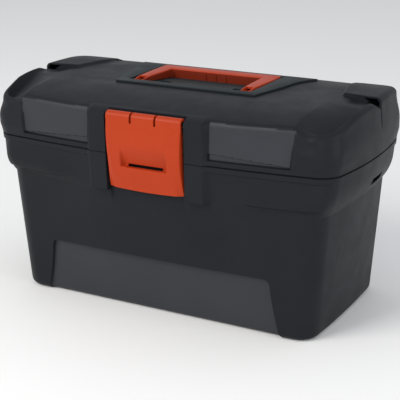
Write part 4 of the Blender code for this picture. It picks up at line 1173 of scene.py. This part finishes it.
class TOOLBOX_OT_deck(bpy.types.Operator):
    """Build the handle deck: a plate on the lid with a sunken well and pivot pockets"""
    bl_idname = "toolbox.deck"
    bl_label = "Handle deck"

    def execute(self, context):
        rows = [deck_section(y) for y in steps(DECK_LOW.y, DECK_HIGH.y, 3.4) + [DECK_HIGH.y]]
        plate = outward(loft_mesh("handle_deck_skin", rows))
        basin = box_mesh("basin", (-WELL_HALF - 3.0, WELL_FRONT_Y - 3.0, DECK_LOW.z),
                         (WELL_HALF + 3.0, WELL_REAR_Y + 3.0, CROWN_Z))
        cuts = [wedge_cutter("well", WELL_HALF, WELL_FRONT_Y, WELL_REAR_Y, well_floor)]
        cuts.append(wedge_cutter("under", UNDER_HALF, 8.0, WELL_REAR_Y, lambda y: 190.0, 221.2))
        for sign in (-1, 1):
            low_x, high_x = flip_span((HANDLE_INNER_HALF - 1.5, HANDLE_HIGH.x + 1.5), sign)
            cuts.append(box_mesh("pivot_pocket", (low_x, WELL_FRONT_Y, DECK_LOW.z + 2.0),
                                 (high_x, 6.0, 240.0)))
            low_x, high_x = flip_span(FINGER_POCKET_SPAN, sign)
            cuts.append(box_mesh("finger_pocket", (low_x, -4.0, POCKET_FLOOR_Z), (high_x, 20.0, 240.0)))
            cuts.append(box_mesh("finger_undercut", (low_x, 19.0, POCKET_FLOOR_Z), (high_x, 34.0, 226.2)))
            low_x, high_x = flip_span((HANDLE_INNER_HALF - 4.0, HANDLE_HIGH.x + 3.5), sign)
            cuts.append(rod_mesh("pin_bore", 2.0, (low_x, high_x), HANDLE_PIN.y, HANDLE_PIN.z, 24))
        mesh = soften(carve(plate, cuts=cuts, joins=[basin]), 0.45)
        add_piece("handle_deck_moulding", mesh, [finish("deck polypropylene")],
                  "lid", ["handle_deck"])
        return {"FINISHED"}


# ---- Tray ---------------------------------------------------------------------------------------
TRAY_BASE_OUTLINE = (180.0, 82.0, 18.0, 3.0, 2.0)
TRAY_TOP_OUTLINE = (192.5, 85.0, 20.0, 4.0, 3.0)
TRAY_FLOOR = 2.2
POCKET_REACH_X = 176.5
POCKET_REACH_Y = 79.5
RIB_SPACING = 12.0


def tray_row(distance, z):
    """One ring of the tray's outside."""
    part = (z - TRAY_LOW.z) / (TRAY_HIGH.z - TRAY_LOW.z)
    outline = inset(mix(TRAY_BASE_OUTLINE, TRAY_TOP_OUTLINE, part), distance)
    across = mirrored([0.0] + steps(12.0, 160.0, 12.0))
    return [(x, y, z) for x, y, _, _ in ring(outline, across, steps(-60.0, 66.0, 12.0), across, 10)]


def pocket_cutter(left, right, front, rear):
    """A tapered pocket with rounded corners, a filleted floor and a softened rim."""
    floor, top = TRAY_LOW.z + TRAY_FLOOR, TRAY_HIGH.z
    centre = Vector(((left + right) / 2, (front + rear) / 2, 0.0))
    half_x, half_y = (right - left) / 2, (rear - front) / 2
    rows = []
    profile = [(3.0 - 3.0 * math.sin(a) + 1.0, floor + 3.0 - 3.0 * math.cos(a))
               for a in (math.pi / 2 * step / 5 for step in range(6))]
    profile += [(0.0, top - 0.8), (-0.12, top - 0.4), (-0.5, top - 0.05)]
    profile += [(-1.2, top + 0.2), (-1.2, top + 5.0)]
    for distance, z in profile:
        outline = (half_x - distance, half_y - distance, max(7.0 - distance, 2.0), 0.0, 0.0)
        rows.append([(x + centre.x, y + centre.y, z) for x, y, _, _ in ring(outline, [0.0], [0.0], [0.0], 8)])
    return loft_mesh("pocket", rows)


class TOOLBOX_OT_tray(bpy.types.Operator):
    """Build the lift-out tray with its four pockets, floor ribs and grip"""
    bl_idname = "toolbox.tray"
    bl_label = "Tray"

    def execute(self, context):
        low, high = TRAY_LOW.z, TRAY_HIGH.z
        rows = [tray_row(2.0, low), tray_row(1.0, low + 0.3), tray_row(0.3, low + 1.0)]
        rows.append(tray_row(0.0, low + 2.0))
        rows += [tray_row(0.0, low + 12.0), tray_row(0.0, low + 24.0), tray_row(0.0, high - 0.8),
                 tray_row(0.2, high - 0.3), tray_row(0.7, high)]
        reach_x, reach_y = POCKET_REACH_X, POCKET_REACH_Y
        pockets = [(-reach_x, -62.0, -reach_y, -5.0), (-60.0, 60.0, -reach_y, -5.0),
                   (62.0, reach_x, -reach_y, -5.0), (-reach_x, reach_x, 5.0, reach_y)]
        cuts = [pocket_cutter(*sides) for sides in pockets]
        cuts.append(box_mesh("grip_notch", (-48.0, -8.0, 158.0), (48.0, 8.0, high + 10.0)))
        parts = [carve(loft_mesh("lift_out_tray_skin", rows), cuts=cuts)]
        grey = finish("tray polypropylene")
        floor = low + TRAY_FLOOR
        for left, right, front, rear in pockets:
            count = int((right - left - 2.0 * RIB_SPACING) // RIB_SPACING) + 1
            start = (left + right) / 2 - (count - 1) * RIB_SPACING / 2
            parts.append(rib_row("floor_ribs", count, (start, (front + rear) / 2, floor + 0.2),
                                 (RIB_SPACING, 0.0, 0.0), (1.6, rear - front - 20.0, 1.0), grey))
        add_piece("tray_moulding", joined("tray_moulding", parts), [grey], "tray",
                  ["lift_out_tray"])
        half = GRIP_HIGH.x
        block = box_mesh("tray_grip_skin", (-half, GRIP_LOW.y, GRIP_LOW.z), (half, GRIP_HIGH.y, GRIP_HIGH.z))
        under = box_mesh("under", (-half + 8.0, -20.0, 160.0), (half - 8.0, 20.0, GRIP_HIGH.z - 6.5))
        grip = soften(carve(block, cuts=[under]), 2.2, segments=4, angle=40.0)
        add_piece("tray_grip_moulding", grip, [grey], "tray", ["tray_grip"])
        return {"FINISHED"}


# ---- Pins ---------------------------------------------------------------------------------------
class TOOLBOX_OT_pins(bpy.types.Operator):
    """Give the hinge pins their zinc finish, and the latch and handle pins charcoal metal as painted shade"""
    bl_idname = "toolbox.pins"
    bl_label = "Pins"

    def execute(self, context):
        for name in ("hinge_pin_left", "hinge_pin_right", "handle_pin_left", "handle_pin_right", "latch_pin"):
            pin = frame["nodes"][name]
            # the latch and handle pins are coloured charcoal as painted shade for the gaps they sit in
            metal = finish("zinc plated steel" if name.startswith("hinge") else "steel with painted shade")
            if pin.material_slots:
                pin.material_slots[0].material = metal
            else:
                pin.data.materials.append(metal)
        return {"FINISHED"}


# ---- Stage --------------------------------------------------------------------------------------
def area_light(name, place, target, size, power, colour):
    """A soft rectangular light aimed at a point; metres and watts."""
    data = bpy.data.lights.new(name, "AREA")
    data.shape = "RECTANGLE"
    data.size, data.size_y = size
    data.energy = power
    data.color = linear(colour)
    lamp = bpy.data.objects.new(name, data)
    bpy.context.scene.collection.objects.link(lamp)
    lamp.location = place
    lamp.rotation_euler = (Vector(target) - Vector(place)).to_track_quat("-Z", "Y").to_euler()
    return lamp


# Camera: sensor and lens in millimetres, place as turn, height angle and distance about a target
CAMERA_LENS = 103.9
CAMERA_SENSOR = 36.0
CAMERA_SHIFT = (0.0073, 0.0070)
CAMERA_AZIMUTH = math.radians(29.741)
CAMERA_ELEVATION = math.radians(18.770)
CAMERA_DISTANCE = 1.28834
CAMERA_ROLL = -0.01925
CAMERA_TARGET = Vector((0.0, 0.0, 0.0979))
WORLD_TINT = (0.93, 0.96, 1.0, 1.0)
WORLD_STRENGTH = 0.6
# Lights: name, place and size in metres, power in watts, colour
LIGHT_TARGET = (0.0, 0.0, 0.12)
LIGHTS = (
    ("key", (-0.9, -1.6, 1.5), (1.2, 1.2), 30.0, "#FFFCF8"),
    ("overhead", (0.0, 0.3, 1.9), (1.6, 1.2), 2.0, "#E2E9FF"),
    ("right", (1.9, -0.2, 0.7), (0.9, 1.2), 9.0, "#FFFFFF"),
    ("corner", (0.75, -1.25, 0.45), (0.10, 0.9), 2.6, "#F4F7FF"),
)


class TOOLBOX_OT_stage(bpy.types.Operator):
    """Set the floor, the studio lights, the world and the camera"""
    bl_idname = "toolbox.stage"
    bl_label = "Stage"

    def execute(self, context):
        scene = context.scene
        floor_mesh = box_mesh("floor", (-4000.0, -4000.0, -20.0), (4000.0, 4000.0, -0.2))
        floor = bpy.data.objects.new("floor", floor_mesh)
        scene.collection.objects.link(floor)
        paint = bpy.data.materials.new("matt_studio_paint")
        paint.use_nodes = True
        shader = paint.node_tree.nodes["Principled BSDF"]
        shader.inputs["Base Color"].default_value = (*colours().floor, 1.0)
        shader.inputs["Roughness"].default_value = 0.9
        floor_mesh.materials.append(paint)
        world = bpy.data.worlds.new("studio")
        world.use_nodes = True
        background = world.node_tree.nodes["Background"]
        background.inputs["Color"].default_value = WORLD_TINT
        background.inputs["Strength"].default_value = WORLD_STRENGTH
        scene.world = world
        for name, place, size, power, colour in LIGHTS:
            area_light(name, place, LIGHT_TARGET, size, power, colour)
        camera_data = bpy.data.cameras.new("camera")
        camera_data.lens = CAMERA_LENS
        camera_data.sensor_width = CAMERA_SENSOR
        camera_data.shift_x, camera_data.shift_y = CAMERA_SHIFT
        camera_data.clip_end = 50.0
        camera = bpy.data.objects.new("camera", camera_data)
        scene.collection.objects.link(camera)
        level = math.cos(CAMERA_ELEVATION)
        back = Vector((math.sin(CAMERA_AZIMUTH) * level, -math.cos(CAMERA_AZIMUTH) * level,
                       math.sin(CAMERA_ELEVATION)))
        camera.location = CAMERA_TARGET + back * CAMERA_DISTANCE
        turn = (-back).to_track_quat("-Z", "Y").to_matrix().to_4x4() @ Matrix.Rotation(CAMERA_ROLL, 4, "Z")
        camera.rotation_euler = turn.to_euler()
        scene.camera = camera
        scene.view_settings.view_transform = "Standard"
        return {"FINISHED"}


class TOOLBOX_PT_panel(bpy.types.Panel):
    """Sidebar panel that lists the pieces"""
    bl_idname = "TOOLBOX_PT_panel"
    bl_label = "Toolbox"
    bl_space_type = "VIEW_3D"
    bl_region_type = "UI"
    bl_category = "Toolbox"

    def draw(self, context):
        for settings in (context.scene.toolbox_shell, context.scene.toolbox_colours):
            for name in settings.bl_rna.properties.keys():
                if name not in ("name", "rna_type"):
                    self.layout.prop(settings, name)
        for step in STEPS:
            self.layout.operator(step.bl_idname)


STEPS = (TOOLBOX_OT_stage, TOOLBOX_OT_body, TOOLBOX_OT_lid, TOOLBOX_OT_deck, TOOLBOX_OT_handle,
         TOOLBOX_OT_latch, TOOLBOX_OT_tray, TOOLBOX_OT_pins)
CLASSES = (ShellSettings, ColourSettings, *STEPS, TOOLBOX_PT_panel)


def register():
    """Register the classes and attach the settings to the scene."""
    for item in CLASSES:
        bpy.utils.register_class(item)
    bpy.types.Scene.toolbox_shell = bpy.props.PointerProperty(type=ShellSettings)
    bpy.types.Scene.toolbox_colours = bpy.props.PointerProperty(type=ColourSettings)


def unregister():
    """Detach the settings and unregister the classes."""
    del bpy.types.Scene.toolbox_colours
    del bpy.types.Scene.toolbox_shell
    for item in reversed(CLASSES):
        bpy.utils.unregister_class(item)


def main():
    """Build everything in order."""
    register()
    for step in STEPS:
        group, name = step.bl_idname.split(".")
        getattr(getattr(bpy.ops, group), name)()


if __name__ == "__main__":
    main()
